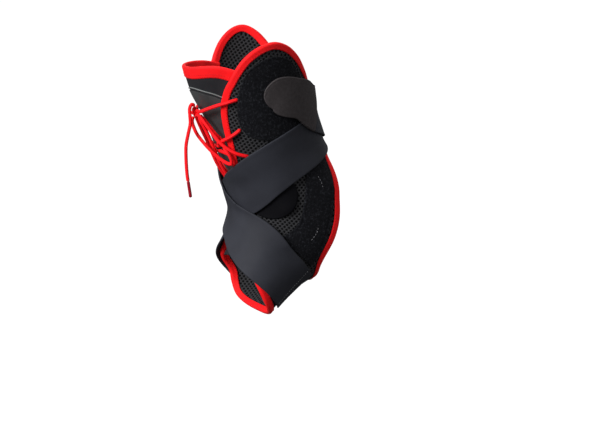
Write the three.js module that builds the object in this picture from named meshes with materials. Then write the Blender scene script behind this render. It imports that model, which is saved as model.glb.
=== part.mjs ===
// Lace-up ankle brace with two crossing straps, as worn on a right foot.
// Millimetres, +Z up. The origin is the centre of the ankle that the brace sits on,
// with the toes towards -X, the heel towards +X and the inner side of the foot towards -Y.
import * as THREE from "three";
import { mergeVertices } from "three/addons/utils/BufferGeometryUtils.js";

// Driving dimensions of the leg and foot that the brace is shaped to
const legDepth = 94;
const ankleWidth = 86;
const formHeight = 150;
const leanDegrees = 21;

// Driving dimensions of the brace
const clearance = 0.5;
const tongueSink = 1.5;
const tongueWall = 1.8;
const tongueFlare = 5.2;
const overlayWall = 0.5;
const tapeThickness = 0.7;
const tapeClearance = 0.65;
const tapeSlack = 1.2;
const tapeWidth = 3.5;
const tongueTapeWidth = 7.4;
const panelWall = 2.2;
const patchThickness = 0.9;
const padThickness = 0.9;
const padBulge = 1.6;
const padBulgeReach = 7;
const padRadius = 17.6;
const strapWidth = 38;
const strapThickness = 1.3;
const strapWaist = 1;
const strapStackGap = 0.8;
const tabWidth = 30;
const tabLength = 44;
const tabThickness = 1.7;
const seamGap = 0.7;
const laceDiameter = 2.1;
const knotRadius = 4;
const tipDiameter = 2.5;

// Layers, as heights over the form, from the skin outwards
const tongueInner = -tongueSink;
const tongueOuter = tongueInner + tongueWall;
const overlayInner = tongueOuter + clearance;
const overlayOuter = overlayInner + overlayWall;
const tapeInner = overlayOuter + clearance;
const panelInner = tapeInner + tapeThickness + tapeClearance;
const panelOuter = panelInner + panelWall;
const tapeOuter = panelOuter + tapeClearance + tapeThickness;
const patchInner = panelOuter + clearance;
const patchOuter = patchInner + patchThickness;
const strapLow = Math.max(tapeOuter, patchOuter, patchInner + padThickness) + clearance;
const strapHigh = strapLow + strapThickness + strapStackGap;
const laceRadius = laceDiameter / 2;
const laceOnPanel = panelOuter + clearance + laceRadius;
const laceOnTape = tapeOuter + clearance + laceRadius;
const laceOnTongue = overlayOuter + clearance + laceRadius + 0.15;

// Cross-sections of leg and foot down the brace, a row for each station from 0 at the top.
// front and depth are shares of legDepth, height of formHeight, half of half the ankleWidth;
// fan is the slope of the section in degrees, and square its roundness (2 is an ellipse).
const sections = [
  { front: -0.309, height: 1, fan: 0, depth: 1, half: 1, square: 2.1 },
  { front: -0.34, height: 0.767, fan: 0, depth: 0.915, half: 0.93, square: 2.1 },
  { front: -0.362, height: 0.533, fan: 0, depth: 0.809, half: 0.837, square: 2.1 },
  { front: -0.362, height: 0.333, fan: 0, depth: 0.755, half: 0.767, square: 2.1 },
  { front: -0.33, height: 0.213, fan: 8, depth: 0.745, half: 0.767, square: 2.2 },
  { front: -0.33, height: 0.124, fan: 22, depth: 0.926, half: 0.814, square: 2.3 },
  { front: -0.347, height: 0.035, fan: 38, depth: 0.989, half: 0.837, square: 2.25 },
  { front: -0.42, height: -0.048, fan: 52, depth: 0.713, half: 0.814, square: 2.2 },
  { front: -0.529, height: -0.129, fan: 62, depth: 0.527, half: 0.814, square: 2.2 },
  { front: -0.729, height: -0.23, fan: 68, depth: 0.42, half: 0.837, square: 2.2 },
  { front: -0.979, height: -0.347, fan: 72, depth: 0.426, half: 0.884, square: 2.2 },
];
const sectionKeys = Object.keys(sections[0]);

// Outline of a side panel as angle (0 front, 90 inner side, 180 back or sole) and station,
// split into the four runs of its edge.
const lobeRun = [
  { angle: 51, station: 1.11 },
  { angle: 57, station: 0.96 },
  { angle: 68, station: 0.77 },
  { angle: 82, station: 0.67 },
  { angle: 95, station: 0.69 },
  { angle: 109, station: 0.87 },
  { angle: 121, station: 1.15 },
  { angle: 135, station: 1.53 },
  { angle: 150, station: 1.88 },
  { angle: 164, station: 2.13 },
  { angle: 172, station: 2.19 },
  { angle: 180, station: 2.19 },
];
const frontRun = [
  { angle: 51, station: 1.11 },
  { angle: 44.5, station: 1.27 },
  { angle: 38, station: 1.52 },
  { angle: 35, station: 1.74 },
  { angle: 33, station: 2.06 },
  { angle: 32, station: 2.4 },
  { angle: 30, station: 2.78 },
  { angle: 27, station: 3.18 },
  { angle: 16, station: 4.4 },
  { angle: 11, station: 5.6 },
  { angle: 10, station: 6.8 },
  { angle: 10, station: 7.75 },
  { angle: 15, station: 8.24 },
];
const footRun = [
  { angle: 15, station: 8.24 },
  { angle: 27, station: 8.36 },
  { angle: 54, station: 8.49 },
  { angle: 76, station: 8.7 },
  { angle: 100, station: 8.88 },
  { angle: 125, station: 8.94 },
  { angle: 180, station: 8.94 },
];
const heelRun = [
  { angle: 180, station: 3.7 },
  { angle: 172, station: 3.7 },
  { angle: 161, station: 3.77 },
  { angle: 146, station: 3.98 },
  { angle: 132.5, station: 4.34 },
  { angle: 118, station: 4.82 },
  { angle: 109, station: 5.3 },
  { angle: 103.5, station: 6.02 },
  { angle: 110, station: 6.54 },
  { angle: 126, station: 6.95 },
  { angle: 152, station: 7.2 },
  { angle: 180, station: 7.25 },
];
// The outer side's front edge lies further round, by these angles at the leg and at the foot
const legTurn = { angle: 27, full: 2.6, none: 4.3 };
const footTurn = { angle: 42, full: 8.1, none: 7 };

const tongueTop = [
  { angle: -80, station: 1.2 },
  { angle: -60, station: 0.98 },
  { angle: -40, station: 0.84 },
  { angle: -19, station: 0.77 },
  { angle: 4, station: 0.74 },
  { angle: 24, station: 0.74 },
  { angle: 38, station: 0.8 },
  { angle: 54, station: 0.96 },
  { angle: 62, station: 1.08 },
];
const overlayTop = [
  { angle: -72, station: 1.5 },
  { angle: -40, station: 1.38 },
  { angle: -18, station: 1.27 },
  { angle: -3, station: 1.2 },
  { angle: 11, station: 1.22 },
  { angle: 24, station: 1.34 },
  { angle: 36, station: 1.48 },
  { angle: 50, station: 1.58 },
];
const tongueFoot = { left: -36, right: 30, station: 8.4 };
const overlayFoot = { left: -20, right: 20, station: 6.6 };

// Loop patches as the four corners' runs: front, rear, top and foot edges of the upper one,
// and the ring side and heel side of the lower one
const upperPatch = {
  front: [
    { angle: 69, station: 0.97 },
    { angle: 60.5, station: 1.19 },
    { angle: 54.5, station: 1.5 },
    { angle: 50.5, station: 1.86 },
    { angle: 51, station: 2.14 },
    { angle: 56, station: 2.38 },
  ],
  rear: [
    { angle: 113, station: 1.22 },
    { angle: 126, station: 1.62 },
    { angle: 141, station: 2.08 },
    { angle: 156, station: 2.44 },
    { angle: 164, station: 2.7 },
    { angle: 164, station: 3.05 },
  ],
  top: [
    { angle: 69, station: 0.97 },
    { angle: 82, station: 0.88 },
    { angle: 94, station: 0.9 },
    { angle: 104, station: 1.02 },
    { angle: 113, station: 1.22 },
  ],
  foot: [
    { angle: 56, station: 2.38 },
    { angle: 66, station: 2.55 },
    { angle: 82, station: 2.74 },
    { angle: 106, station: 2.96 },
    { angle: 134, station: 3.06 },
    { angle: 164, station: 3.05 },
  ],
};
const lowerPatch = {
  front: [
    { angle: 98, station: 3.76 },
    { angle: 94.5, station: 4.2 },
    { angle: 87.5, station: 4.64 },
    { angle: 79, station: 5.24 },
    { angle: 73, station: 5.74 },
    { angle: 67, station: 6.35 },
    { angle: 61, station: 6.85 },
  ],
  rear: [
    { angle: 135, station: 4.02 },
    { angle: 125, station: 4.37 },
    { angle: 111.5, station: 4.84 },
    { angle: 102.5, station: 5.32 },
    { angle: 97, station: 6 },
    { angle: 101, station: 6.4 },
    { angle: 108, station: 6.75 },
    { angle: 112, station: 7.1 },
  ],
};
const padCentre = { angle: 51, station: 4.96 };
const padBulgeAt = { angle: 65, station: 5.4 };

// Centre line of the inner strap from its sewn end at the sole over the instep, round the
// outer side and the back of the leg to its tab; a row's layer is 0 next to the panel and
// 1 above the other strap
const innerStrapRoute = [
  { angle: 128, station: 8.04, layer: 0 },
  { angle: 114, station: 8.02, layer: 0 },
  { angle: 97, station: 7.98, layer: 0 },
  { angle: 78, station: 7.93, layer: 0.1 },
  { angle: 60, station: 7.83, layer: 0.7 },
  { angle: 43, station: 7.61, layer: 1 },
  { angle: 25, station: 7.27, layer: 1 },
  { angle: 9, station: 6.86, layer: 1 },
  { angle: -7, station: 6.42, layer: 1 },
  { angle: -23, station: 5.82, layer: 1 },
  { angle: -39, station: 5.12, layer: 1 },
  { angle: -56, station: 4.42, layer: 1 },
  { angle: -75, station: 3.8, layer: 1 },
  { angle: -98, station: 3.34, layer: 1 },
  { angle: -124, station: 3.3, layer: 1 },
  { angle: -150, station: 3.24, layer: 1 },
  { angle: -180, station: 3.02, layer: 1 },
  { angle: -206, station: 2.68, layer: 1 },
  { angle: -224, station: 2.37, layer: 1 },
  { angle: -240, station: 2.05, layer: 1 },
  { angle: -254, station: 1.87, layer: 0.8 },
  { angle: -267, station: 1.67, layer: 0.3 },
  { angle: -280, station: 1.53, layer: 0 },
];
// The outer strap starts at the other side of the sole and passes below the inner one
const outerStrapRoute = [
  { angle: -116, station: 7.86, layer: 0 },
  { angle: -97, station: 7.8, layer: 0 },
  { angle: -78, station: 7.66, layer: 0 },
  { angle: -58, station: 7.3, layer: 0 },
  { angle: -40, station: 6.8, layer: 0 },
  { angle: -24, station: 6.2, layer: 0 },
  { angle: -8, station: 5.55, layer: 0 },
  { angle: 8, station: 4.98, layer: 0 },
  { angle: 22, station: 4.5, layer: 0 },
  { angle: 38, station: 4.12, layer: 0 },
  { angle: 56, station: 3.79, layer: 0 },
  { angle: 75, station: 3.55, layer: 0 },
  { angle: 98, station: 3.38, layer: 0 },
  { angle: 124, station: 3.3, layer: 0 },
  { angle: 150, station: 3.22, layer: 0 },
  { angle: 180, station: 3.02, layer: 0 },
  { angle: 206, station: 2.68, layer: 0 },
  { angle: 224, station: 2.37, layer: 0 },
  { angle: 240, station: 2.05, layer: 0 },
  { angle: 254, station: 1.87, layer: 0 },
  { angle: 267, station: 1.67, layer: 0 },
  { angle: 280, station: 1.53, layer: 0 },
];

// Laces that the brace holds, as angle, station and height over the form
const laceRoutes = {
  lace_top_medial: [
    [51, 1.5, laceOnPanel],
    [46, 1.49, laceOnTape + 0.2],
    [40, 1.5, laceOnTape],
    [32, 1.52, laceOnTape],
    [22, 1.56, laceOnTape + 0.4],
    [9.5, 1.62, laceOnTape + 1.2],
    [3.9, 1.6, laceOnTape + 1],
  ],
  lace_long_medial: [
    [46.5, 2.88, laceOnPanel],
    [40, 2.74, laceOnTape + 0.6],
    [33, 2.56, laceOnTape + 1.9],
    [26, 2.34, laceOnTape + 2.7],
    [20, 2.12, laceOnTape + 2.2],
    [15, 1.92, laceOnTape + 2.1],
    [9, 1.74, laceOnTape + 2],
    [4.6, 1.69, laceOnTape + 1.6],
  ],
  lace_cross_upper: [
    [46, 2.22, laceOnPanel],
    [41, 2.26, laceOnTape],
    [34, 2.31, laceOnTape],
    [29, 2.34, laceOnTape + 0.1],
    [24, 2.37, laceOnTape + 0.6],
    [19, 2.42, laceOnTongue + 4.2],
    [14, 2.52, laceOnTongue + 0.6],
    [7, 2.57, laceOnTongue],
    [-14, 2.62, laceOnTongue],
    [-36, 2.68, laceOnTongue],
    [-47, 2.72, laceOnTongue],
  ],
  lace_cross_lower: [
    [22, 2.82, laceOnTongue],
    [8, 2.72, laceOnTongue],
    [-8, 2.76, laceOnTongue],
    [-26, 2.84, laceOnTongue],
    [-45, 2.92, laceOnTongue],
  ],
  lace_top_lateral: [
    [-6.2, 1.665, laceOnTape + 0.4],
    [-12, 1.68, laceOnTongue + 3.6],
    [-20, 1.72, laceOnTongue + 2.2],
    [-32, 1.72, laceOnTongue + 1.7],
    [-46, 1.7, laceOnTongue + 0.5],
    [-57, 1.68, laceOnTongue],
  ],
  lace_long_lateral: [
    [-5, 1.74, laceOnTape - 0.6],
    [-10, 1.88, laceOnTongue + 2.6],
    [-16, 2.02, laceOnTongue + 0.8],
    [-28, 2.2, laceOnTongue],
    [-42, 2.36, laceOnTongue],
    [-53, 2.46, laceOnTongue],
  ],
  bow_loop_front: [
    [-3, 1.76, laceOnTape + 4],
    [-4.6, 1.85, laceOnTape + 4.7],
    [-5, 1.95, laceOnTape + 4.9],
    [-3, 2.14, laceOnTape + 4.8],
    [3, 2.38, laceOnTape + 3.6],
    [10, 2.62, laceOnTape + 2.2],
    [18, 2.83, laceOnTape + 1.5],
    [25, 2.98, laceOnTape + 1.1],
    [29, 3.01, laceOnTape + 1],
    [31, 2.92, laceOnTape + 1],
    [31, 2.76, laceOnTape + 1],
    [28.6, 2.63, laceOnTape + 0.8],
    [25.4, 2.53, laceOnTape - 1.2],
    [23, 2.4, laceOnTape - 3.1],
    [19.5, 2.16, laceOnTape - 0.6],
    [13.5, 1.93, laceOnTape - 0.3],
    [8, 1.8, laceOnTape - 0.3],
    [4.4, 1.735, laceOnTape - 0.3],
  ],
  bow_loop_tucked: [
    [-3.2, 1.79, laceOnTape + 1.1],
    [-5, 2.1, laceOnTape - 0.4],
    [-5.5, 2.4, laceOnTape - 1.5],
    [-5.5, 2.7, laceOnTape - 1.9],
    [-5, 3.1, laceOnTape - 2.1],
    [-4.5, 3.6, laceOnTape - 2.5],
    [-3, 3.95, laceOnTape - 2.9],
    [0, 4.06, laceOnTape - 3],
    [3, 3.95, laceOnTape - 2.9],
    [4.5, 3.6, laceOnTape - 2.5],
    [5, 3.1, laceOnTape - 2.1],
    [5, 2.7, laceOnTape - 1.9],
    [4.5, 2.4, laceOnTape - 1.7],
    [3.5, 2.1, laceOnTape - 1],
    [2.5, 1.87, laceOnTape + 0.2],
    [1.6, 1.79, laceOnTape + 0.1],
  ],
};
const knotAt = { angle: -1, station: 1.66, lift: 9.3 };

// The free end of the lace hangs plumb from the knot, as points in the upright frame
const laceEndRoute = [
  [-75.75, -0.7, 67.1],
  [-76.9, -1, 62.6],
  [-79.6, -1, 54.2],
  [-81.5, -1, 45.9],
  [-81.6, -1, 34.2],
  [-80.8, -1, 22.6],
  [-80.2, -1, 18.6],
];
const laceTipRoute = [
  [-80.1, -1, 18.1],
  [-78.1, -1, 5.4],
];

const degree = Math.PI / 180;

// Smooth cross-section between the rows of the table
function sectionAt(station) {
  const last = sections.length - 1;
  const place = Math.min(Math.max(station, 0), last - 1e-9);
  const row = Math.floor(place);
  const t = place - row;
  const pick = (index) => sections[Math.min(Math.max(index, 0), last)];
  const result = {};
  for (const key of sectionKeys) {
    const a = pick(row - 1)[key];
    const b = pick(row)[key];
    const c = pick(row + 1)[key];
    const d = pick(row + 2)[key];
    const linear = (c - a) * t;
    const square = (2 * a - 5 * b + 4 * c - d) * t * t;
    const cube = (3 * b - a - 3 * c + d) * t * t * t;
    result[key] = 0.5 * (2 * b + linear + square + cube);
  }
  return result;
}

function signedPower(value, power) {
  return Math.sign(value) * Math.pow(Math.abs(value), power);
}

// Point of the skin at an angle in degrees and a station
function skin(angle, station) {
  const section = sectionAt(station);
  const power = 2 / section.square;
  const across = signedPower(Math.cos(angle * degree), power);
  const aside = signedPower(Math.sin(angle * degree), power);
  const back = (section.depth * legDepth * (1 - across)) / 2;
  return new THREE.Vector3(
    section.front * legDepth + Math.cos(section.fan * degree) * back,
    (-section.half * ankleWidth * aside) / 2,
    section.height * formHeight - Math.sin(section.fan * degree) * back,
  );
}

// Change of the skin point for one degree of angle and for one station
function slopes(angle, station) {
  const step = 0.05;
  const round = skin(angle + step, station).sub(skin(angle - step, station));
  const down = skin(angle, station + step).sub(skin(angle, station - step));
  return { round: round.divideScalar(2 * step), down: down.divideScalar(2 * step) };
}

function normalAt(angle, station) {
  const { round, down } = slopes(angle, station);
  return down.clone().cross(round).normalize();
}

// Point at a height over the skin
function onForm(angle, station, lift) {
  return skin(angle, station).addScaledVector(normalAt(angle, station), lift);
}

// Walk over the skin from a place, in a direction in space, for a distance
function walk(place, direction, distance, steps) {
  let { angle, station } = place;
  const heading = direction.clone();
  for (let count = 0; count < steps; count += 1) {
    const { round, down } = slopes(angle, station);
    const normal = down.clone().cross(round).normalize();
    heading.addScaledVector(normal, -heading.dot(normal)).normalize();
    const roundRound = round.dot(round);
    const roundDown = round.dot(down);
    const downDown = down.dot(down);
    const alongRound = heading.dot(round);
    const alongDown = heading.dot(down);
    const determinant = roundRound * downDown - roundDown * roundDown;
    const stride = distance / steps;
    angle += (stride * (alongRound * downDown - alongDown * roundDown)) / determinant;
    station += (stride * (alongDown * roundRound - alongRound * roundDown)) / determinant;
  }
  return { angle, station };
}

// Curve through places of a table, in a plane where both directions are about millimetres
const degreeSpan = 0.62;
const stationSpan = 24;

function pattern(rows) {
  const points = rows.map(
    (row) => new THREE.Vector3(row.angle * degreeSpan, row.station * stationSpan, row.layer ?? 0),
  );
  return new THREE.CatmullRomCurve3(points, false, "centripetal");
}

// Part of a curve between two of its points
function stretch(curve, from, to) {
  const parts = 20;
  const lengths = curve.getLengths((curve.points.length - 1) * parts);
  const [start, end] = [from, to].map((index) => (lengths[index * parts] / lengths.at(-1)));
  return { getPointAt: (share) => curve.getPointAt(THREE.MathUtils.lerp(start, end, share)) };
}

function chain(curves) {
  const path = new THREE.CurvePath();
  for (const curve of curves) {
    path.add(curve);
  }
  return path;
}

function straight(from, to) {
  const ends = [from, to].map(
    (row) => new THREE.Vector3(row.angle * degreeSpan, row.station * stationSpan, 0),
  );
  return new THREE.LineCurve3(ends[0], ends[1]);
}

function placeOn(curve, share) {
  const point = curve.getPointAt(Math.min(Math.max(share, 0), 1));
  return { angle: point.x / degreeSpan, station: point.y / stationSpan, layer: point.z };
}

// Closed body from two grids of points, inner and outer, with walls round its rim
function slab(columns, rows, pointAt) {
  const positions = [];
  for (const side of [0, 1]) {
    for (let i = 0; i <= columns; i += 1) {
      for (let j = 0; j <= rows; j += 1) {
        positions.push(...pointAt(i / columns, j / rows, side).toArray());
      }
    }
  }
  const half = (columns + 1) * (rows + 1);
  const at = (i, j, side) => side * half + i * (rows + 1) + j;
  const indices = [];
  const quad = (a, b, c, d) => indices.push(a, b, c, a, c, d);
  for (let i = 0; i < columns; i += 1) {
    for (let j = 0; j < rows; j += 1) {
      quad(at(i, j, 1), at(i + 1, j, 1), at(i + 1, j + 1, 1), at(i, j + 1, 1));
      quad(at(i, j, 0), at(i, j + 1, 0), at(i + 1, j + 1, 0), at(i + 1, j, 0));
    }
  }
  for (let i = 0; i < columns; i += 1) {
    quad(at(i, 0, 0), at(i + 1, 0, 0), at(i + 1, 0, 1), at(i, 0, 1));
    quad(at(i + 1, rows, 0), at(i, rows, 0), at(i, rows, 1), at(i + 1, rows, 1));
  }
  for (let j = 0; j < rows; j += 1) {
    quad(at(0, j + 1, 0), at(0, j, 0), at(0, j, 1), at(0, j + 1, 1));
    quad(at(columns, j, 0), at(columns, j + 1, 0), at(columns, j + 1, 1), at(columns, j, 1));
  }
  return closedGeometry(positions, indices);
}

// Body swept along frames: each frame gives the ring of its closed profile
function sweep(rings) {
  const count = rings[0].length;
  const positions = rings.flatMap((ring) => ring.flatMap((point) => point.toArray()));
  const indices = [];
  const at = (step, corner) => step * count + (corner % count);
  for (let step = 0; step < rings.length - 1; step += 1) {
    for (let corner = 0; corner < count; corner += 1) {
      const a = at(step, corner);
      const b = at(step, corner + 1);
      const c = at(step + 1, corner + 1);
      const d = at(step + 1, corner);
      indices.push(a, b, c, a, c, d);
    }
  }
  return { positions, indices, count };
}

// Geometry with its faces pointing out, whatever way round it was listed
function closedGeometry(positions, indices) {
  let volume = 0;
  const corner = (index) => new THREE.Vector3().fromArray(positions, index * 3);
  for (let face = 0; face < indices.length; face += 3) {
    const [a, b, c] = [0, 1, 2].map((offset) => corner(indices[face + offset]));
    volume += a.dot(b.cross(c));
  }
  if (volume < 0) {
    indices.reverse();
  }
  const geometry = new THREE.BufferGeometry();
  geometry.setAttribute("position", new THREE.Float32BufferAttribute(positions, 3));
  geometry.setIndex(indices);
  return mergeVertices(geometry, 1e-4);
}

// Tape folded over an edge: a flat U whose slot takes the wall, carried along a curve
function foldedTape(curve, steps, wall, width, mirror, liftMore = () => 0) {
  const innerFace = wall.inner - tapeClearance - tapeThickness;
  const outerFace = wall.outer + tapeClearance + tapeThickness;
  const fold = tapeSlack + tapeThickness;
  const profile = [
    [-fold, innerFace],
    [width, innerFace],
    [width, innerFace + tapeThickness],
    [-tapeSlack, innerFace + tapeThickness],
    [-tapeSlack, outerFace - tapeThickness],
    [width, outerFace - tapeThickness],
    [width, outerFace],
    [-fold, outerFace],
  ];
  const rings = [];
  for (let step = 0; step <= steps; step += 1) {
    const share = step / steps;
    const here = placeOn(curve, share);
    const before = placeOn(curve, share - 0.002);
    const after = placeOn(curve, share + 0.002);
    const along = skin(after.angle, after.station).sub(skin(before.angle, before.station)).normalize();
    const inward = along.cross(normalAt(here.angle, here.station)).multiplyScalar(mirror);
    rings.push(
      profile.map(([inset, lift]) => {
        const place = walk(here, inward, inset, 2);
        return onForm(place.angle, place.station, lift + liftMore(place.angle, place.station));
      }),
    );
  }
  const { positions, indices, count } = sweep(rings);
  for (const [first, flip] of [
    [0, true],
    [rings.length - 1, false],
  ]) {
    const base = first * count;
    const caps = [
      [0, 1, 2],
      [0, 2, 3],
      [0, 3, 4],
      [0, 4, 7],
      [7, 4, 5],
      [7, 5, 6],
    ];
    for (const [a, b, c] of caps) {
      indices.push(...(flip ? [base + c, base + b, base + a] : [base + a, base + b, base + c]));
    }
  }
  return closedGeometry(positions, indices);
}

// Smooth step from 0 to 1 between two values
function ease(value, from, to) {
  return THREE.MathUtils.smoothstep(value, Math.min(from, to), Math.max(from, to));
}

// The outer side is the inner side's mirror image, with its front edge turned further round
function turned(rows, side) {
  if (side > 0) {
    return rows;
  }
  return rows.map((row) => {
    const leg = legTurn.angle * (1 - ease(row.station, legTurn.full, legTurn.none));
    const foot = footTurn.angle * ease(row.station, footTurn.none, footTurn.full);
    const front = Math.min(1, (180 - row.angle) / (180 - lobeRun[0].angle));
    return { ...row, angle: row.angle + (leg + foot) * front };
  });
}

// Surface between four edge curves, each run from its start to its end
function spanned({ front, rear, top, foot }, side) {
  const curves = [front, rear, top, foot];
  const corners = [placeOn(front, 0), placeOn(rear, 0), placeOn(front, 1), placeOn(rear, 1)];
  return (u, v) => {
    const [f, r] = [placeOn(curves[0], v), placeOn(curves[1], v)];
    const [t, b] = [placeOn(curves[2], u), placeOn(curves[3], u)];
    const place = {};
    for (const key of ["angle", "station"]) {
      const [topFront, topRear, footFront, footRear] = corners.map((corner) => corner[key]);
      const upper = topFront * (1 - u) + topRear * u;
      const lower = footFront * (1 - u) + footRear * u;
      const sides = f[key] * (1 - u) + r[key] * u;
      const ends = t[key] * (1 - v) + b[key] * v;
      place[key] = sides + ends - upper * (1 - v) - lower * v;
    }
    return { angle: place.angle * side, station: place.station };
  };
}

const seamAngle = 180 - (seamGap / 2 / ankleWidth) * 60;

// Rows that end on the seam at the back or sole stop just before it
function toSeam(rows) {
  return rows.map((row) => ({ ...row, angle: Math.min(row.angle, seamAngle) }));
}

// The panel's free rim, from the seam at the back over the lobe and down the front to the sole
function rimRows(side) {
  const lobe = toSeam(turned(lobeRun, side)).reverse();
  const front = turned(frontRun, side);
  const foot = toSeam(turned(footRun, side));
  return [...lobe, ...front.slice(1), ...foot.slice(1)];
}

function panelGeometry(side) {
  const rim = pattern(rimRows(side));
  const heel = toSeam(heelRun);
  const lobeEnd = lobeRun.length - 1;
  const frontEnd = lobeEnd + frontRun.length - 1;
  const rimEnd = rim.points.length - 1;
  const edges = {
    top: stretch(rim, lobeEnd, 0),
    front: stretch(rim, lobeEnd, frontEnd),
    foot: stretch(rim, frontEnd, rimEnd),
    rear: chain([
      straight(toSeam(lobeRun).at(-1), heel[0]),
      pattern(heel),
      straight(heel.at(-1), toSeam(footRun).at(-1)),
    ]),
  };
  const place = spanned(edges, side);
  return slab(14, 30, (u, v, outer) => {
    const { angle, station } = place(u, v);
    return onForm(angle, station, outer ? panelOuter : panelInner);
  });
}

// Curve of the other side: angles change sign
function sided(rows, side) {
  return rows.map((row) => ({ ...row, angle: row.angle * side }));
}

function edgeBindingGeometry(side) {
  const curve = pattern(sided(rimRows(side), side));
  const wall = { inner: panelInner, outer: panelOuter };
  return foldedTape(curve, 48, wall, tapeWidth, -side);
}

function heelBindingGeometry(side) {
  const curve = pattern(sided(toSeam(heelRun), side));
  const wall = { inner: panelInner, outer: panelOuter };
  return foldedTape(curve, 20, wall, tapeWidth, side);
}

// The tongue's upper end stands away from the leg at the front
function flare(angle, station) {
  const front = 1 - ease(Math.abs(angle + 8), 16, 44 + 14 * (1 - ease(station, 0.8, 1.3)));
  const upper = 1 - ease(station, 1.1, 2.1);
  return tongueFlare * front * upper;
}

function tongueShape(topRows, foot) {
  const top = pattern(topRows);
  return (u, row) => {
    const v = Math.pow(row, 1.6);
    const start = placeOn(top, u);
    const endAngle = THREE.MathUtils.lerp(foot.left, foot.right, u);
    return {
      angle: THREE.MathUtils.lerp(start.angle, endAngle, ease(v, 0, 1)),
      station: THREE.MathUtils.lerp(start.station, foot.station, v),
    };
  };
}

function tongueGeometry() {
  const place = tongueShape(tongueTop, tongueFoot);
  return slab(11, 13, (u, v, outer) => {
    const { angle, station } = place(u, v);
    const lift = outer ? tongueOuter : tongueInner;
    return onForm(angle, station, lift + flare(angle, station));
  });
}

function tongueOverlayGeometry() {
  const place = tongueShape(overlayTop, overlayFoot);
  return slab(9, 12, (u, v, outer) => {
    const { angle, station } = place(u, v);
    const lift = outer ? overlayOuter : overlayInner;
    return onForm(angle, station, lift + flare(angle, station));
  });
}

function tongueBindingGeometry() {
  const wall = { inner: tongueInner, outer: tongueOuter };
  return foldedTape(pattern(tongueTop), 16, wall, tongueTapeWidth, 1, flare);
}

function patchGeometry(edges, columns, rows, side) {
  const run = (rows) => turned(rows, side);
  const ends = (index) => [edges.front.at(index), edges.rear.at(index)];
  const place = spanned(
    {
      front: pattern(run(edges.front)),
      rear: pattern(run(edges.rear)),
      top: edges.top ? pattern(run(edges.top)) : straight(...run(ends(0))),
      foot: edges.foot ? pattern(run(edges.foot)) : straight(...run(ends(-1))),
    },
    side,
  );
  return slab(columns, rows, (u, v, outer) => {
    const { angle, station } = place(u, v);
    return onForm(angle, station, outer ? patchOuter : patchInner);
  });
}

// Round pad over the ankle bone, bulging in the gap between the straps
function padGeometry(side) {
  const around = 16;
  const rings = 3;
  const centre = { angle: padCentre.angle * side, station: padCentre.station };
  const bulgeCentre = skin(padBulgeAt.angle * side, padBulgeAt.station);
  const { round, down } = slopes(centre.angle, centre.station);
  const axisU = round.clone().normalize();
  const axisV = down.clone().cross(round).cross(axisU).normalize();
  const places = [centre];
  for (let ring = 1; ring <= rings; ring += 1) {
    for (let spoke = 0; spoke < around; spoke += 1) {
      const turn = (spoke / around) * 2 * Math.PI;
      const heading = axisU.clone().multiplyScalar(Math.cos(turn));
      heading.addScaledVector(axisV, Math.sin(turn));
      places.push(walk(centre, heading, (padRadius * ring) / rings, 4));
    }
  }
  const positions = [];
  for (const outer of [0, 1]) {
    for (const { angle, station } of places) {
      const reach = skin(angle, station).distanceTo(bulgeCentre) / padBulgeReach;
      const bulge = padBulge * Math.exp(-reach * reach);
      const lift = outer ? patchInner + padThickness + bulge : patchInner;
      positions.push(...onForm(angle, station, lift).toArray());
    }
  }
  const indices = [];
  const at = (ring, spoke, outer) =>
    outer * places.length + (ring === 0 ? 0 : 1 + (ring - 1) * around + (spoke % around));
  for (let spoke = 0; spoke < around; spoke += 1) {
    indices.push(at(0, 0, 1), at(1, spoke, 1), at(1, spoke + 1, 1));
    indices.push(at(0, 0, 0), at(1, spoke + 1, 0), at(1, spoke, 0));
    for (let ring = 1; ring < rings; ring += 1) {
      const outerQuad = [at(ring, spoke, 1), at(ring + 1, spoke, 1), at(ring + 1, spoke + 1, 1)];
      indices.push(...outerQuad, outerQuad[0], outerQuad[2], at(ring, spoke + 1, 1));
      const innerQuad = [at(ring, spoke, 0), at(ring + 1, spoke + 1, 0), at(ring + 1, spoke, 0)];
      indices.push(...innerQuad, innerQuad[0], at(ring, spoke + 1, 0), innerQuad[1]);
    }
    const rim = [at(rings, spoke, 0), at(rings, spoke + 1, 0), at(rings, spoke + 1, 1)];
    indices.push(...rim, rim[0], rim[2], at(rings, spoke, 1));
  }
  return closedGeometry(positions, indices);
}

// Length of a route over the skin, in millimetres
function routeLength(curve) {
  let length = 0;
  const steps = 200;
  let last = null;
  for (let step = 0; step <= steps; step += 1) {
    const place = placeOn(curve, step / steps);
    const point = skin(place.angle, place.station);
    length += last ? point.distanceTo(last) : 0;
    last = point;
  }
  return length;
}

// Height of a strap's inner face for a layer of 0, on the panel, to 1, on the other strap
function strapFloor(layer) {
  return THREE.MathUtils.lerp(strapLow, strapHigh, Math.min(Math.max(layer, 0), 1));
}

// Ribbon along a share of a route, with its half width given along it
function ribbon(route, from, to, steps, across, halfWidth, thickness) {
  const curve = pattern(route);
  return slab(steps, across, (u, v, outer) => {
    const share = THREE.MathUtils.lerp(from, to, u);
    const here = placeOn(curve, share);
    const before = placeOn(curve, share - 0.004);
    const after = placeOn(curve, share + 0.004);
    const along = skin(after.angle, after.station).sub(skin(before.angle, before.station));
    const sideways = normalAt(here.angle, here.station).cross(along).normalize();
    const offset = (v * 2 - 1) * halfWidth(u);
    const place = walk(here, sideways, offset, 5);
    const lift = strapFloor(here.layer) + (outer ? thickness : 0);
    return onForm(place.angle, place.station, lift);
  });
}

function tabShare(route) {
  return 1 - tabLength / routeLength(pattern(route));
}

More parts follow.
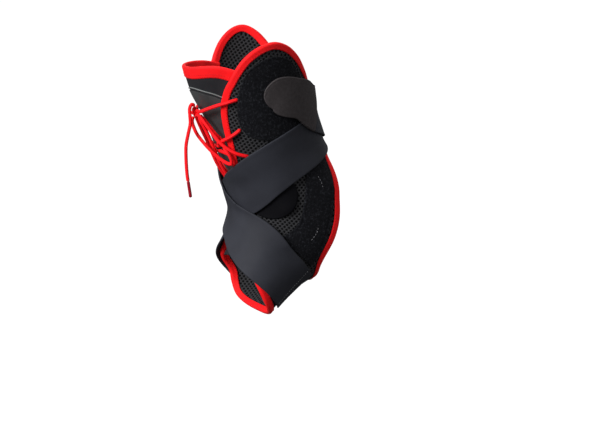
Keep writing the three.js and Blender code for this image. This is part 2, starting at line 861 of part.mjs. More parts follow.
function strapGeometry(route) {
  const length = routeLength(pattern(route));
  const end = tabShare(route) - clearance / length;
  const waist = (u) => {
    const left = (1 - u) * end * length;
    const narrow = 1 - ease(left, 0, strapWidth / 2);
    return strapWidth / 2 - (strapWaist / 2) * narrow;
  };
  return ribbon(route, 0, end, 46, 4, waist, strapThickness);
}

function tabGeometry(route) {
  const round = tabWidth / 2;
  const outline = (u) => {
    const left = (1 - u) * tabLength;
    const past = Math.max(0, round - left) / round;
    const rounded = round * Math.sqrt(Math.max(0.04, 1 - past * past));
    const root = 1 - ease(u * tabLength, 0, tabLength * 0.4);
    return rounded + ((strapWidth - strapWaist) / 2 - round) * root;
  };
  return ribbon(route, tabShare(route), 1, 8, 4, outline, tabThickness);
}

// Round cord along points, as an extruded section
function cordGeometry(points, radius, steps, sides) {
  const path = new THREE.CatmullRomCurve3(points, false, "centripetal");
  const section = new THREE.Shape(
    Array.from({ length: sides }, (_, side) => {
      const turn = (side / sides) * 2 * Math.PI;
      return new THREE.Vector2(Math.cos(turn) * radius, Math.sin(turn) * radius);
    }),
  );
  const geometry = new THREE.ExtrudeGeometry(section, { steps, extrudePath: path, bevelEnabled: false });
  geometry.deleteAttribute("normal");
  geometry.deleteAttribute("uv");
  return mergeVertices(geometry, 1e-4);
}

function laceGeometry(route) {
  const points = route.map(([angle, station, lift]) => onForm(angle, station, lift));
  const path = new THREE.CatmullRomCurve3(points, false, "centripetal");
  const steps = Math.max(3, Math.round(path.getLength() / (laceDiameter * 2.8)));
  return cordGeometry(points, laceRadius, steps, 6);
}

function knotGeometry() {
  const geometry = new THREE.SphereGeometry(knotRadius, 10, 7);
  geometry.deleteAttribute("normal");
  geometry.deleteAttribute("uv");
  geometry.scale(0.85, 0.95, 1);
  return mergeVertices(geometry, 1e-4);
}

const colours = {
  mesh: 0x1b1b1e,
  tape: 0xd8141c,
  fabric: 0x161619,
  leatherette: 0x3c3c40,
  loop: 0x0d0d0f,
  elastic: 0x2b2b31,
  tab: 0x322f33,
  lace: 0xd3161f,
  tip: 0xa3202c,
};

function mesh(name, geometry, colour, roughness) {
  const material = new THREE.MeshStandardMaterial({ color: colour, roughness, metalness: 0 });
  const result = new THREE.Mesh(geometry, material);
  result.name = name;
  return result;
}

const brace = new THREE.Group();
const worn = new THREE.Group();
worn.rotation.y = -leanDegrees * degree;
brace.add(worn);

for (const [name, side] of [
  ["medial", 1],
  ["lateral", -1],
]) {
  worn.add(
    mesh(`side_panel_${name}`, panelGeometry(side), colours.mesh, 0.9),
    mesh(`edge_binding_${name}`, edgeBindingGeometry(side), colours.tape, 0.7),
    mesh(`heel_binding_${name}`, heelBindingGeometry(side), colours.tape, 0.7),
    mesh(`loop_patch_upper_${name}`, patchGeometry(upperPatch, 10, 8, side), colours.loop, 1),
    mesh(`loop_patch_lower_${name}`, patchGeometry(lowerPatch, 3, 10, side), colours.loop, 1),
    mesh(`ankle_pad_${name}`, padGeometry(side), colours.fabric, 0.6),
  );
}

worn.add(
  mesh("tongue", tongueGeometry(), colours.fabric, 0.8),
  mesh("tongue_overlay", tongueOverlayGeometry(), colours.leatherette, 0.45),
  mesh("tongue_binding", tongueBindingGeometry(), colours.tape, 0.7),
  mesh("strap_inner", strapGeometry(innerStrapRoute), colours.elastic, 0.7),
  mesh("strap_outer", strapGeometry(outerStrapRoute), colours.elastic, 0.7),
  mesh("tab_medial", tabGeometry(innerStrapRoute), colours.tab, 0.6),
  mesh("tab_lateral", tabGeometry(outerStrapRoute), colours.tab, 0.6),
);

for (const [name, route] of Object.entries(laceRoutes)) {
  worn.add(mesh(name, laceGeometry(route), colours.lace, 0.6));
}
const knot = mesh("lace_knot", knotGeometry(), colours.lace, 0.6);
knot.position.copy(onForm(knotAt.angle, knotAt.station, knotAt.lift));
worn.add(knot);

const endPoints = laceEndRoute.map((point) => new THREE.Vector3(...point));
const tipPoints = laceTipRoute.map((point) => new THREE.Vector3(...point));
brace.add(
  mesh("lace_end", cordGeometry(endPoints, laceRadius, 10, 8), colours.lace, 0.6),
  mesh("lace_tip", cordGeometry(tipPoints, tipDiameter / 2, 2, 8), colours.tip, 0.5),
);

export default brace;
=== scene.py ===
import math

import bpy
import numpy as np
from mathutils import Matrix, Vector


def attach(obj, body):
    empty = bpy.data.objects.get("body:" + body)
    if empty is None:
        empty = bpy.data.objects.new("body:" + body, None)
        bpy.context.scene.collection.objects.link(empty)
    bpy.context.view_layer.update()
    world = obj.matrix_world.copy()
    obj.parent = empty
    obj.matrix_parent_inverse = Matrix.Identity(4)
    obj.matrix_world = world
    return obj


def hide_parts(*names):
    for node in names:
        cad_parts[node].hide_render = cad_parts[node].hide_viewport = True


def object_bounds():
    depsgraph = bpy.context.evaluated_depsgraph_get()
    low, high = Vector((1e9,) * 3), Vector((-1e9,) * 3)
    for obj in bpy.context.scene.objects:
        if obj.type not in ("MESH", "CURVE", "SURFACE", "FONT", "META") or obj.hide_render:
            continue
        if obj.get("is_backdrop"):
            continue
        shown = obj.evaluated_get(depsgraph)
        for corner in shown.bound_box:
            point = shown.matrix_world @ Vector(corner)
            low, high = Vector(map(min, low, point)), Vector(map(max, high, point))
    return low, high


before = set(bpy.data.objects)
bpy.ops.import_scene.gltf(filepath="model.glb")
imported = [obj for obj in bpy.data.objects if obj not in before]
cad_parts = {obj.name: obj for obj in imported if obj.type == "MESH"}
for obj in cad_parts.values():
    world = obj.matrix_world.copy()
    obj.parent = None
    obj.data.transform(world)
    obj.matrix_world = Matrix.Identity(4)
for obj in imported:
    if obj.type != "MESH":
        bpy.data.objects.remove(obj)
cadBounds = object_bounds()
print("frame loaded")

# Camera, at the photograph's angle: a little above, from the inner side and the front
cameraSet = {"azimuth": -25, "elevation": 10, "target": (0.01115, -0.00744, -0.01151),
             "distance": 1.8, "lens": 138.5}
azimuth, elevation = math.radians(cameraSet["azimuth"]), math.radians(cameraSet["elevation"])
towards = np.array([math.sin(azimuth) * math.cos(elevation),
                    -math.cos(azimuth) * math.cos(elevation), math.sin(elevation)])
eye = np.array(cameraSet["target"]) + towards * cameraSet["distance"]
cameraData = bpy.data.cameras.new("camera")
cameraData.lens = cameraSet["lens"]
cameraData.sensor_width = 36
cameraObject = bpy.data.objects.new("camera", cameraData)
cameraObject.location = eye
cameraObject.rotation_euler = (math.radians(90) - elevation, 0, azimuth)
bpy.context.collection.objects.link(cameraObject)
bpy.context.scene.camera = cameraObject
bpy.context.scene.view_settings.view_transform = "Standard"


# Meshes

def buildMesh(name, points, faces, cornerUv, material, smooth=True):
    # points in metres; faces as lists of corners; cornerUv one pair for each corner in turn
    mesh = bpy.data.meshes.new(name)
    mesh.from_pydata(points.tolist(), [], faces)
    layer = mesh.uv_layers.new(name="cloth")
    layer.data.foreach_set("uv", np.asarray(cornerUv, dtype=np.float32).ravel())
    mesh.polygons.foreach_set("use_smooth", np.full(len(mesh.polygons), smooth))
    mesh.update()
    piece = bpy.data.objects.new(name, mesh)
    bpy.context.collection.objects.link(piece)
    mesh.materials.append(material)
    return piece


def finishPiece(piece, slotName, *nodes):
    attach(piece, "root")
    if nodes:
        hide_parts(*nodes)
    return piece


def gridQuads(rowCount, columnCount):
    # Corners of the quads of a grid of points that is listed row by row
    i, j = np.meshgrid(np.arange(rowCount - 1), np.arange(columnCount - 1), indexing="ij")
    a = i * columnCount + j
    return np.stack([a, a + columnCount, a + columnCount + 1, a + 1], -1).reshape(-1, 4)


def facesOut(points, faces, cornerUv):
    # Turns the whole shell round where its volume comes out negative
    tri = points[faces[:, :3]]
    other = points[faces[:, [0, 2, 3]]]
    volume = sum(np.einsum("ij,ij->", t[:, 0], np.cross(t[:, 1], t[:, 2])) for t in (tri, other))
    if volume < 0:
        return faces[:, ::-1], cornerUv[:, ::-1]
    return faces, cornerUv


def shell(name, points, faces, uv, material):
    # Closed body of quads: points that round to the same micrometre become one, and a quad with
    # two corners there becomes a triangle; uv has one pair for each point
    faces, cornerUv = facesOut(points, faces, uv[faces])
    key = np.round(points * 1e6).astype(np.int64) @ (1 << np.array([0, 20, 40]))
    _, first, joined = np.unique(key, return_index=True, return_inverse=True)
    faces = joined[faces]
    twice = faces == np.roll(faces, -1, 1)
    narrow = twice.any(1)
    row = np.arange(narrow.sum())[:, None]
    kept = (twice[narrow].argmax(1)[:, None] + np.arange(1, 4)) % 4
    corners = faces[~narrow].tolist() + faces[narrow][row, kept].tolist()
    cornerUv = np.concatenate([cornerUv[~narrow].reshape(-1, 2),
                               cornerUv[narrow][row, kept].reshape(-1, 2)])
    return buildMesh(name, points[first], corners, cornerUv, material)


def sewnShell(name, outer, inner, uv, material):
    # Sheet between two grids of points that meet at their rims
    quads = gridQuads(*outer.shape[:2])
    points = np.concatenate([outer.reshape(-1, 3), inner.reshape(-1, 3)])
    faces = np.concatenate([quads, quads[:, ::-1] + len(points) // 2])
    return shell(name, points, faces, np.tile(uv.reshape(-1, 2), (2, 1)), material)


def sweptShell(name, rings, uv, material, closed=False):
    # Rings of points along a path, the first point of each repeated at its end. Each end of an
    # open path is closed by quads between the two halves of its ring.
    steps, columns = rings.shape[:2]
    faces = gridQuads(steps, columns)
    if not closed:
        near = np.arange(columns // 2 - 1)
        cap = np.stack([near, near + 1, columns - 3 - near, columns - 2 - near], -1)
        faces = np.concatenate([faces, cap, cap[:, ::-1] + (steps - 1) * columns])
    return shell(name, rings.reshape(-1, 3), faces, uv.reshape(-1, 2), material)


# The form: leg and foot as one surface of an angle and a station

form = {"legDepth": 94, "ankleWidth": 86, "height": 150, "lean": 21,
        "degreeSpan": 0.62, "stationSpan": 24}
# front, height, fan, depth, half width and squareness at each station, as in the part's table
sectionTable = np.array([
    [-0.309, 1, 0, 1, 1, 2.1],
    [-0.34, 0.767, 0, 0.915, 0.93, 2.1],
    [-0.362, 0.533, 0, 0.809, 0.837, 2.1],
    [-0.362, 0.333, 0, 0.755, 0.767, 2.1],
    [-0.33, 0.213, 8, 0.745, 0.767, 2.2],
    [-0.33, 0.124, 22, 0.926, 0.814, 2.3],
    [-0.347, 0.035, 38, 0.989, 0.837, 2.25],
    [-0.42, -0.048, 52, 0.713, 0.814, 2.2],
    [-0.529, -0.129, 62, 0.527, 0.814, 2.2],
    [-0.729, -0.23, 68, 0.42, 0.837, 2.2],
    [-0.979, -0.347, 72, 0.426, 0.884, 2.2],
])


def skin(angle, station):
    # Super-ellipse section at each station, sloped by its fan, with smooth values between rows
    last = len(sectionTable) - 1
    place = np.clip(station, 0, last - 1e-9)
    row = np.floor(place).astype(int)
    t = (place - row)[..., None]
    a, b, c, d = (sectionTable[np.clip(row + k, 0, last)] for k in (-1, 0, 1, 2))
    value = 0.5 * (2 * b + (c - a) * t + (2 * a - 5 * b + 4 * c - d) * t**2
                   + (3 * b - a - 3 * c + d) * t**3)
    front, height, fan, depth, half, square = np.moveaxis(value, -1, 0)
    turn, fan, power = np.radians(angle), np.radians(fan), 2 / square
    across = np.sign(np.cos(turn)) * np.abs(np.cos(turn)) ** power
    aside = np.sign(np.sin(turn)) * np.abs(np.sin(turn)) ** power
    back = depth * form["legDepth"] * (1 - across) / 2
    return np.stack([front * form["legDepth"] + np.cos(fan) * back,
                     -half * form["ankleWidth"] * aside / 2,
                     height * form["height"] - np.sin(fan) * back], -1)


def slopes(angle, station):
    # Change of the skin for one degree and for one station, by small differences
    step = 0.05
    around = (skin(angle + step, station) - skin(angle - step, station)) / (2 * step)
    down = (skin(angle, station + step) - skin(angle, station - step)) / (2 * step)
    return around, down


def unit(vectors):
    return vectors / (np.linalg.norm(vectors, axis=-1, keepdims=True) + 1e-12)


def normalAt(angle, station):
    around, down = slopes(angle, station)
    return unit(np.cross(down, around))


def outAt(angle, station):
    # The normal in the part's own axes
    return upright(normalAt(angle, station) * 1000)


def onForm(angle, station, lift):
    # Skin point moved out along its normal by the lift, in millimetres before the lean
    return skin(angle, station) + normalAt(angle, station) * np.asarray(lift)[..., None]


def upright(points):
    # Leans the form forward and turns millimetres into metres
    lean = math.radians(form["lean"])
    x, y, z = np.moveaxis(points, -1, 0)
    return np.stack([x * math.cos(lean) - z * math.sin(lean), y,
                     x * math.sin(lean) + z * math.cos(lean)], -1) / 1000


def walk(angle, station, heading, distance, steps):
    # Moves places over the skin by a distance, the heading laid flat on it at each step
    for _ in range(steps):
        around, down = slopes(angle, station)
        normal = unit(np.cross(down, around))
        heading = unit(heading - normal * np.sum(heading * normal, -1, keepdims=True))
        aa, ad, dd = np.sum(around**2, -1), np.sum(around * down, -1), np.sum(down**2, -1)
        ha, hd = np.sum(heading * around, -1), np.sum(heading * down, -1)
        det = aa * dd - ad * ad
        stride = distance / steps
        angle = angle + stride * (ha * dd - hd * ad) / det
        station = station + stride * (hd * aa - ha * ad) / det
    return angle, station


curveSteps = 32


def through(points):
    # Centripetal Catmull-Rom curve through points, as a line with even steps between each two
    p = np.asarray(points, float)
    p = np.vstack([2 * p[0] - p[1], p, 2 * p[-1] - p[-2]])
    x0, x1, x2, x3 = p[:-3], p[1:-2], p[2:-1], p[3:]
    span = lambda u, v: np.linalg.norm(v - u, axis=1, keepdims=True) ** 0.5
    d0, d1, d2 = span(x0, x1), span(x1, x2), span(x2, x3)
    m1 = ((x1 - x0) / d0 - (x2 - x0) / (d0 + d1) + (x2 - x1) / d1) * d1
    m2 = ((x2 - x1) / d1 - (x3 - x1) / (d1 + d2) + (x3 - x2) / d2) * d1
    t = np.linspace(0, 1, curveSteps + 1)[:-1][None, :, None]
    x1, x2, m1, m2 = (v[:, None, :] for v in (x1, x2, m1, m2))
    line = (x1 + m1 * t + (-3 * x1 + 3 * x2 - 2 * m1 - m2) * t**2
            + (2 * x1 - 2 * x2 + m1 + m2) * t**3)
    return np.vstack([line.reshape(-1, p.shape[1]), p[-2:-1]])


def reachOf(line):
    # Distance along a line at each of its points
    return np.concatenate([[0], np.cumsum(np.linalg.norm(np.diff(line, axis=0), axis=1))])


def alongLine(line, shares):
    # Points at shares of a line's length
    reach = reachOf(line)
    at = np.clip(shares, 0, 1) * reach[-1]
    return np.stack([np.interp(at, reach, line[:, k]) for k in range(line.shape[1])], -1)


def patternLine(rows):
    # Places of a table in the flat pattern: angle and station in about millimetres
    rows = np.asarray(rows, float)
    scale = np.array([form["degreeSpan"], form["stationSpan"], 1][: rows.shape[1]])
    return through(rows * scale)


def fromPattern(points):
    return points[..., 0] / form["degreeSpan"], points[..., 1] / form["stationSpan"]


def smoothStep(value, low, high):
    t = np.clip((value - low) / (high - low), 0, 1)
    return t * t * (3 - 2 * t)


def edgeShares(length, radius, count):
    # Steps across a piece, close together where its rim is rounded
    rim = radius * (1 - np.cos(np.linspace(0, np.pi / 2, 6))) / length
    rim = rim[rim < 0.2]
    return np.concatenate([rim[:-1], np.linspace(rim[-1], 1 - rim[-1], count), 1 - rim[:-1][::-1]])


def rimFactor(distance, radius):
    # Quarter of a circle: 0 at the rim and 1 from one radius in
    t = np.clip(distance / radius, 0, 1)
    return np.sqrt(np.clip(1 - (1 - t) ** 2, 0, 1))


def gridLengths(points):
    # Distances down the columns and along the rows of a grid
    return [np.insert(np.cumsum(np.linalg.norm(np.diff(points, axis=k), axis=2), k), 0, 0, axis=k)
            for k in (0, 1)]


netSet = {"columns": 22, "rows": 44, "rounds": 2500, "pull": 0.12}


def laidFlat(points):
    # Flat map of a curved sheet: a coarse net with the sheet's own lengths and diagonals, its
    # points moved little by little until the net has those lengths in the plane
    at = [np.unique(np.linspace(0, count - 1, netSet[key]).astype(int))
          for count, key in zip(points.shape[:2], ("columns", "rows"))]
    coarse = points[np.ix_(*at)]
    toU, toV = gridLengths(coarse)
    flat = np.stack([toU - toU[[len(toU) // 2]], toV - toV[:, [toV.shape[1] // 2]]], -1)
    every, low, high = slice(None), slice(0, -1), slice(1, None)
    ties = [((low, every), (high, every)), ((every, low), (every, high)),
            ((low, low), (high, high)), ((high, low), (low, high))]
    rest = [np.linalg.norm(coarse[b] - coarse[a], axis=-1) for a, b in ties]
    for _ in range(netSet["rounds"]):
        move = np.zeros_like(flat)
        for (a, b), length in zip(ties, rest):
            gap = flat[b] - flat[a]
            now = np.linalg.norm(gap, axis=-1) + 1e-9
            pull = gap * ((now - length) / now)[..., None] * netSet["pull"]
            move[a] += pull
            move[b] -= pull
        flat += move
    wide = np.stack([[np.interp(np.arange(points.shape[0]), at[0], flat[:, j, k])
                      for j in range(len(at[1]))] for k in (0, 1)], -1)
    return np.stack([[np.interp(np.arange(points.shape[1]), at[1], row)
                      for row in wide[..., k].T] for k in (0, 1)], -1) / 1000


def pillow(name, angle, station, lift, thickness, radius, material, relief=None, flatMap=False):
    # Sheet over the form whose thickness falls to nothing round its rim, so that its edge is
    # rounded; relief(alongU, alongV, rim) adds to the outer face
    base = onForm(angle, station, np.zeros_like(angle) + lift)
    toU, toV = gridLengths(base)
    leftU, leftV = toU[-1:] - toU, toV[:, -1:] - toV
    rimU, rimV = np.minimum(toU, leftU), np.minimum(toV, leftV)
    factor = rimFactor(rimU, radius) * rimFactor(rimV, radius)
    middle = lift + thickness / 2
    extra = relief(toU, toV, np.minimum(rimU, rimV)) * factor if relief else 0
    outer = onForm(angle, station, middle + thickness / 2 * factor + extra)
    inner = onForm(angle, station, middle - thickness / 2 * factor)
    uv = laidFlat(base) if flatMap else np.stack(
        [toU, toV - toV[:, [toV.shape[1] // 2]]], -1) / 1000
    return sewnShell(name, upright(outer), upright(inner), uv, material)


def coons(front, rear, top, foot, u, v):
    # Surface between four lines: both pairs' blends added, less the corners' blend
    f, r, t, b = alongLine(front, v), alongLine(rear, v), alongLine(top, u), alongLine(foot, u)
    u, v = u[:, None, None], v[None, :, None]
    corners = (1 - u) * (1 - v) * f[0] + u * (1 - v) * r[0] + (1 - u) * v * f[-1] + u * v * r[-1]
    return f[None] * (1 - u) + r[None] * u + t[:, None] * (1 - v) + b[:, None] * v - corners


print("form ready")


# Materials

class Tree:
    # Short way to add nodes to one tree and link them
    def __init__(self, tree):
        self.tree = tree

    def feed(self, node, pairs):
        # pairs of a socket's name or number and a value or another node's output
        for socket, source in pairs:
            if isinstance(source, (int, float, tuple)):
                node.inputs[socket].default_value = source
            else:
                self.tree.links.new(source, node.inputs[socket])

    def add(self, kind, pairs=(), **values):
        node = self.tree.nodes.new(kind)
        for key, value in values.items():
            setattr(node, key, value)
        self.feed(node, pairs)
        return node

    def math(self, operation, *values):
        return self.add("ShaderNodeMath", enumerate(values), operation=operation).outputs[0]

    def vector(self, operation, *values):
        node = self.add("ShaderNodeVectorMath", enumerate(values), operation=operation)
        return node.outputs["Value" if operation == "LENGTH" else "Vector"]

    def noise(self, place, scale, detail=2.0, roughness=0.5):
        pairs = (("Vector", place), ("Scale", scale), ("Detail", detail), ("Roughness", roughness))
        return self.add("ShaderNodeTexNoise", pairs).outputs["Fac"]

    def between(self, value, low, high, start=0.0, end=1.0):
        pairs = (("Value", value), ("From Min", low), ("From Max", high), ("To Min", start),
                 ("To Max", end))
        return self.add("ShaderNodeMapRange", pairs, interpolation_type="SMOOTHSTEP").outputs["Result"]

    def mix(self, share, first, second):
        pairs = ((0, share), (6, first), (7, second))
        return self.add("ShaderNodeMix", pairs, data_type="RGBA").outputs[2]


def newGroup(name, inputs, outputs):
    # Group of shader nodes: a place on the cloth map and float inputs go in, floats come out
    group = bpy.data.node_groups.new(name, "ShaderNodeTree")
    group.interface.new_socket("Place", in_out="INPUT", socket_type="NodeSocketVector")
    for label, value in inputs.items():
        socket = group.interface.new_socket(label, in_out="INPUT", socket_type="NodeSocketFloat")
        socket.default_value = value
    for label in outputs:
        group.interface.new_socket(label, in_out="OUTPUT", socket_type="NodeSocketFloat")
    t = Tree(group)
    return group, t, t.add("NodeGroupInput").outputs, t.add("NodeGroupOutput")


def makeWeave():
    # Plain weave of two threads at right angles: the product of two sine waves, on the cloth map
    group, t, source, target = newGroup("threadWeave", {"Across mm": 0.6, "Along mm": 0.6},
                                        ("Height", "Fibre"))
    split = t.add("ShaderNodeSeparateXYZ", ((0, source["Place"]),))
    waves = []
    for axis, size in (("X", "Along mm"), ("Y", "Across mm")):
        turns = t.math("DIVIDE", t.math("MULTIPLY", split.outputs[axis], 1000.0), source[size])
        waves.append(t.math("SINE", t.math("MULTIPLY", turns, math.pi)))
    height = t.math("MULTIPLY_ADD", t.math("MULTIPLY", *waves), 0.5, 0.5)
    t.feed(target, (("Height", height), ("Fibre", t.noise(source["Place"], 2600))))
    return group


def makeHoles():
    # Staggered oval holes: the nearer of two square lattices, one shifted by half a step
    sizes = {"Step along mm": 3.4, "Step across mm": 4.2, "Hole": 0.24}
    group, t, source, target = newGroup("ovalHoles", sizes, ("Open", "Height"))
    step = t.add("ShaderNodeCombineXYZ",
                 ((0, source["Step along mm"]), (1, source["Step across mm"]), (2, 1.0)))
    place = t.vector("DIVIDE", t.vector("MULTIPLY", source["Place"], (1000.0, 1000.0, 0.0)),
                     step.outputs[0])
    reach = []
    for shift in (0.0, 0.5):
        cell = t.vector("FRACTION", t.vector("ADD", place, (shift, shift, 0.0)))
        cell = t.vector("MULTIPLY", t.vector("SUBTRACT", cell, (0.5, 0.5, 0.0)), (1.0, 1.25, 0.0))
        reach.append(t.vector("LENGTH", cell))
    near = t.math("MINIMUM", *reach)
    low, high, wide = (t.math("MULTIPLY", source["Hole"], factor) for factor in (0.75, 1.45, 2.0))
    t.feed(target, (("Open", t.between(near, low, high, 1.0, 0.0)),
                    ("Height", t.between(near, 0.0, wide))))
    return group


weaveGroup, holesGroup = makeWeave(), makeHoles()
print("node groups made")

# Colours are in linear light
looks = {
    "mesh": {"base": (0.036, 0.036, 0.039), "deep": (0.0015, 0.0015, 0.002), "rough": 0.85},
    "tape": {"base": (0.84, 0.008, 0.010), "deep": (0.77, 0.006, 0.009), "rough": 0.62},
    "loop": {"base": (0.0058, 0.0060, 0.0075), "deep": (0.030, 0.032, 0.038), "rough": 0.95},
    # The pad's near-black is partly its own dark cloth and partly painted shade: it is darkened to the
    # shade that lies over the pad
    "pad": {"base": (0.0035, 0.0034, 0.0045), "deep": (0.002, 0.002, 0.003), "rough": 0.7},
    "tongue": {"base": (0.019, 0.020, 0.023), "deep": (0.011, 0.011, 0.013), "rough": 0.8},
    "leatherette": {"base": (0.040, 0.042, 0.043), "deep": (0.026, 0.028, 0.029), "rough": 0.42},
    "elastic": {"base": (0.0225, 0.0240, 0.032), "deep": (0.0155, 0.0165, 0.0225), "rough": 0.72},
    "tab": {"base": (0.049, 0.043, 0.045), "deep": (0.038, 0.033, 0.0345), "rough": 0.78},
    "lace": {"base": (0.97, 0.008, 0.014), "deep": (0.84, 0.004, 0.008), "rough": 0.5},
    "tip": {"base": (0.36, 0.008, 0.02), "deep": (0.22, 0.004, 0.012), "rough": 0.25},
    "piping": {"base": (0.17, 0.18, 0.18), "deep": (0.10, 0.105, 0.105), "rough": 0.55},
    "thread": {"base": (0.24, 0.24, 0.25), "deep": (0.14, 0.14, 0.15), "rough": 0.6},
    "redThread": {"base": (0.74, 0.012, 0.016), "deep": (0.42, 0.004, 0.008), "rough": 0.55},
    "blackThread": {"base": (0.014, 0.014, 0.016), "deep": (0.008, 0.008, 0.009), "rough": 0.6},
}


def startMaterial(name, sheen=0.0, specular=0.5):
    material = bpy.data.materials.new(name)
    material.use_nodes = True
    t = Tree(material.node_tree)
    shader = material.node_tree.nodes["Principled BSDF"]
    t.feed(shader, (("Sheen Weight", sheen), ("Sheen Roughness", 0.4), ("Specular IOR Level", specular)))
    return material, t, shader, t.add("ShaderNodeTexCoord").outputs


def bumpInto(t, shader, height, strength, distance):
    bump = t.add("ShaderNodeBump", (("Strength", strength), ("Distance", distance), ("Height", height)))
    t.feed(shader, (("Normal", bump.outputs[0]),))


def rgba(colour, share=1.0):
    return (*(value * share for value in colour), 1.0)


def paint(t, shader, share, look, rough=None):
    # Base colour between the look's deep and its base colour, and its roughness
    t.feed(shader, (("Base Color", t.mix(share, rgba(look["deep"]), rgba(look["base"]))),
                    ("Roughness", look["rough"] if rough is None else rough)))


def weaveOutputs(t, place, across, along):
    pairs = (("Place", place), ("Across mm", across), ("Along mm", along))
    return t.add("ShaderNodeGroup", pairs, node_tree=weaveGroup).outputs


def wovenMaterial(name, look, across, along, bump, sheen=0.0, wave=0.5, cloud=60, specular=0.12):
    # Cloth of fine threads: weave and fibre shade it, and soft clouds vary it over centimetres
    material, t, shader, at = startMaterial(name, sheen, specular)
    weave = weaveOutputs(t, at["UV"], across, along)
    clouds = t.between(t.noise(at["Object"], cloud, 3.0), 0.3, 0.7)
    shade = t.math("ADD", t.math("MULTIPLY", weave["Height"], wave), t.math("MULTIPLY", clouds, 1 - wave))
    rough = t.between(weave["Fibre"], 0.2, 0.8, look["rough"] - 0.1, look["rough"] + 0.08)
    paint(t, shader, shade, look, rough)
    bumpInto(t, shader, t.math("MULTIPLY_ADD", weave["Fibre"], 0.6, weave["Height"]), 0.6, bump)
    return material


def meshMaterial(name, look):
    # Open mesh: dark holes between woven threads
    material, t, shader, at = startMaterial(name, 0.0, 0.08)
    holes = t.add("ShaderNodeGroup", (("Place", at["UV"]),), node_tree=holesGroup).outputs
    weave = weaveOutputs(t, at["UV"], 0.5, 0.5)
    thread = t.mix(weave["Height"], rgba(look["base"], 0.6), rgba(look["base"], 1.35))
    t.feed(shader, (("Base Color", t.mix(holes["Open"], thread, rgba(look["deep"]))),
                    ("Roughness", look["rough"])))
    height = t.math("MULTIPLY_ADD", holes["Height"], 3.0, weave["Height"])
    bumpInto(t, shader, height, 0.9, 0.0003)
    return material


def pileMaterial(name, look):
    # Brushed loops: three sizes of noise raise the pile, and a few fibres catch the light
    material, t, shader, at = startMaterial(name, 0.06, 0.05)
    fine = t.noise(at["Object"], 1500, 3.0, 0.7)
    tufts = t.noise(at["Object"], 420, 3.0, 0.6)
    plain = t.between(t.noise(at["Object"], 620, 4.0, 0.75), 0.5, 0.72, 1.0, 0.0)
    paint(t, shader, plain, look)
    bumpInto(t, shader, t.math("ADD", fine, t.math("MULTIPLY", tufts, 1.5)), 0.8, 0.0006)
    return material


def leatheretteMaterial(name, look):
    # Fine cells under soft clouds of shade
    material, t, shader, at = startMaterial(name, 0.0, 0.3)
    cells = t.add("ShaderNodeTexVoronoi", (("Scale", 900.0), ("Vector", at["Object"])))
    clouds = t.between(t.noise(at["Object"], 90, 3.0), 0.3, 0.7)
    rough = t.between(clouds, 0.0, 1.0, look["rough"] - 0.06, look["rough"] + 0.08)
    paint(t, shader, clouds, look, rough)
    bumpInto(t, shader, cells.outputs["Distance"], 0.35, 0.0002)
    return material


def braidMaterial(name, look, turns=4.0, bump=0.0003, strands=True):
    # Braid on a round cord: two helices that cross, on the map's turns round and diameters along
    material, t, shader, at = startMaterial(name, 0.0, 0.15)
    split = t.add("ShaderNodeSeparateXYZ", ((0, at["UV"]),)).outputs
    along = t.math("MULTIPLY", split["X"], 2 * math.pi * 1.6)
    around = t.math("MULTIPLY", split["Y"], 2 * math.pi * turns)
    left, right = (t.math("SINE", t.math(way, along, around)) for way in ("ADD", "SUBTRACT"))
    height = t.math("MULTIPLY_ADD", t.math("MULTIPLY", left, right), 0.5, 0.5)
    shade = t.between(height, 0.15, 0.7) if strands else t.noise(at["Object"], 300)
    paint(t, shader, shade, look)
    bumpInto(t, shader, height, 0.7 if strands else 0.1, bump)
    return material


meshCloth = meshMaterial("spacer mesh", looks["mesh"])
tapeCloth = wovenMaterial("red binding tape", looks["tape"], 0.55, 0.9, 0.00018, 0.0, 0.35, 160)
loopCloth = pileMaterial("loop pile", looks["loop"])
padClothWithPaintedShade = wovenMaterial("pad cover with painted shade", looks["pad"], 0.4, 0.4, 0.00006, specular=0.06)
tongueCloth = wovenMaterial("tongue knit", looks["tongue"], 0.45, 0.6, 0.00012)
tongueSkin = leatheretteMaterial("tongue leatherette", looks["leatherette"])
elasticCloth = wovenMaterial("strap elastic", looks["elastic"], 0.7, 0.5, 0.00010, 0.0, 0.3, 45, 0.2)
tabCloth = wovenMaterial("tab cloth", looks["tab"], 0.5, 1.2, 0.00022, 0.0, 0.3, 420)
laceBraid = braidMaterial("lace braid", looks["lace"])
tipFilm = braidMaterial("lace tip film", looks["tip"], strands=False)
pipingCord = braidMaterial("piping cord", looks["piping"], 3.0, 0.0001)
greyThread = braidMaterial("grey thread", looks["thread"], 2.0, 0.0001)
redThread = braidMaterial("red thread", looks["redThread"], 2.0, 0.0001)
blackThread = braidMaterial("black thread", looks["blackThread"], 2.0, 0.0001)
print("materials ready")


# Cords: the laces first, with the free end that hangs from the knot

laceSet = {"diameter": 2.7, "tip": 2.5, "sides": 20, "onPanel": 6.9, "onTape": 8.25, "onTongue": 3.0,
           "endSteps": 60, "tipSteps": 24, "stepLong": 0.0007}


def circles(line, tangent, reference, size, sides):
    # Circles across a line, their first axis the reference direction squared to the path
    side = unit(reference - tangent * np.sum(reference * tangent, -1, keepdims=True))
    up = np.cross(tangent, side)
    turn = np.arange(sides + 1) / sides
    ring = (side[:, None] * np.cos(turn * 2 * np.pi)[None, :, None]
            + up[:, None] * np.sin(turn * 2 * np.pi)[None, :, None])
    return line[:, None] + ring * size[:, None, None], turn


def tube(name, line, radius, sides, material, reference, ends=1.0):
    # Round cord along a line, both ends drawn in to a rounded cap
    reach = reachOf(line)
    fromEnd = np.minimum(reach, reach[-1] - reach)
    size = radius * np.clip(rimFactor(fromEnd + radius * 0.04, radius * ends), 0.25, 1)
    rings, turn = circles(line, unit(np.gradient(line, axis=0)), reference, size, sides)
    uv = np.stack(np.broadcast_arrays((reach / (2 * radius))[:, None], turn[None]), -1)
    return sweptShell(name, rings, uv, material)


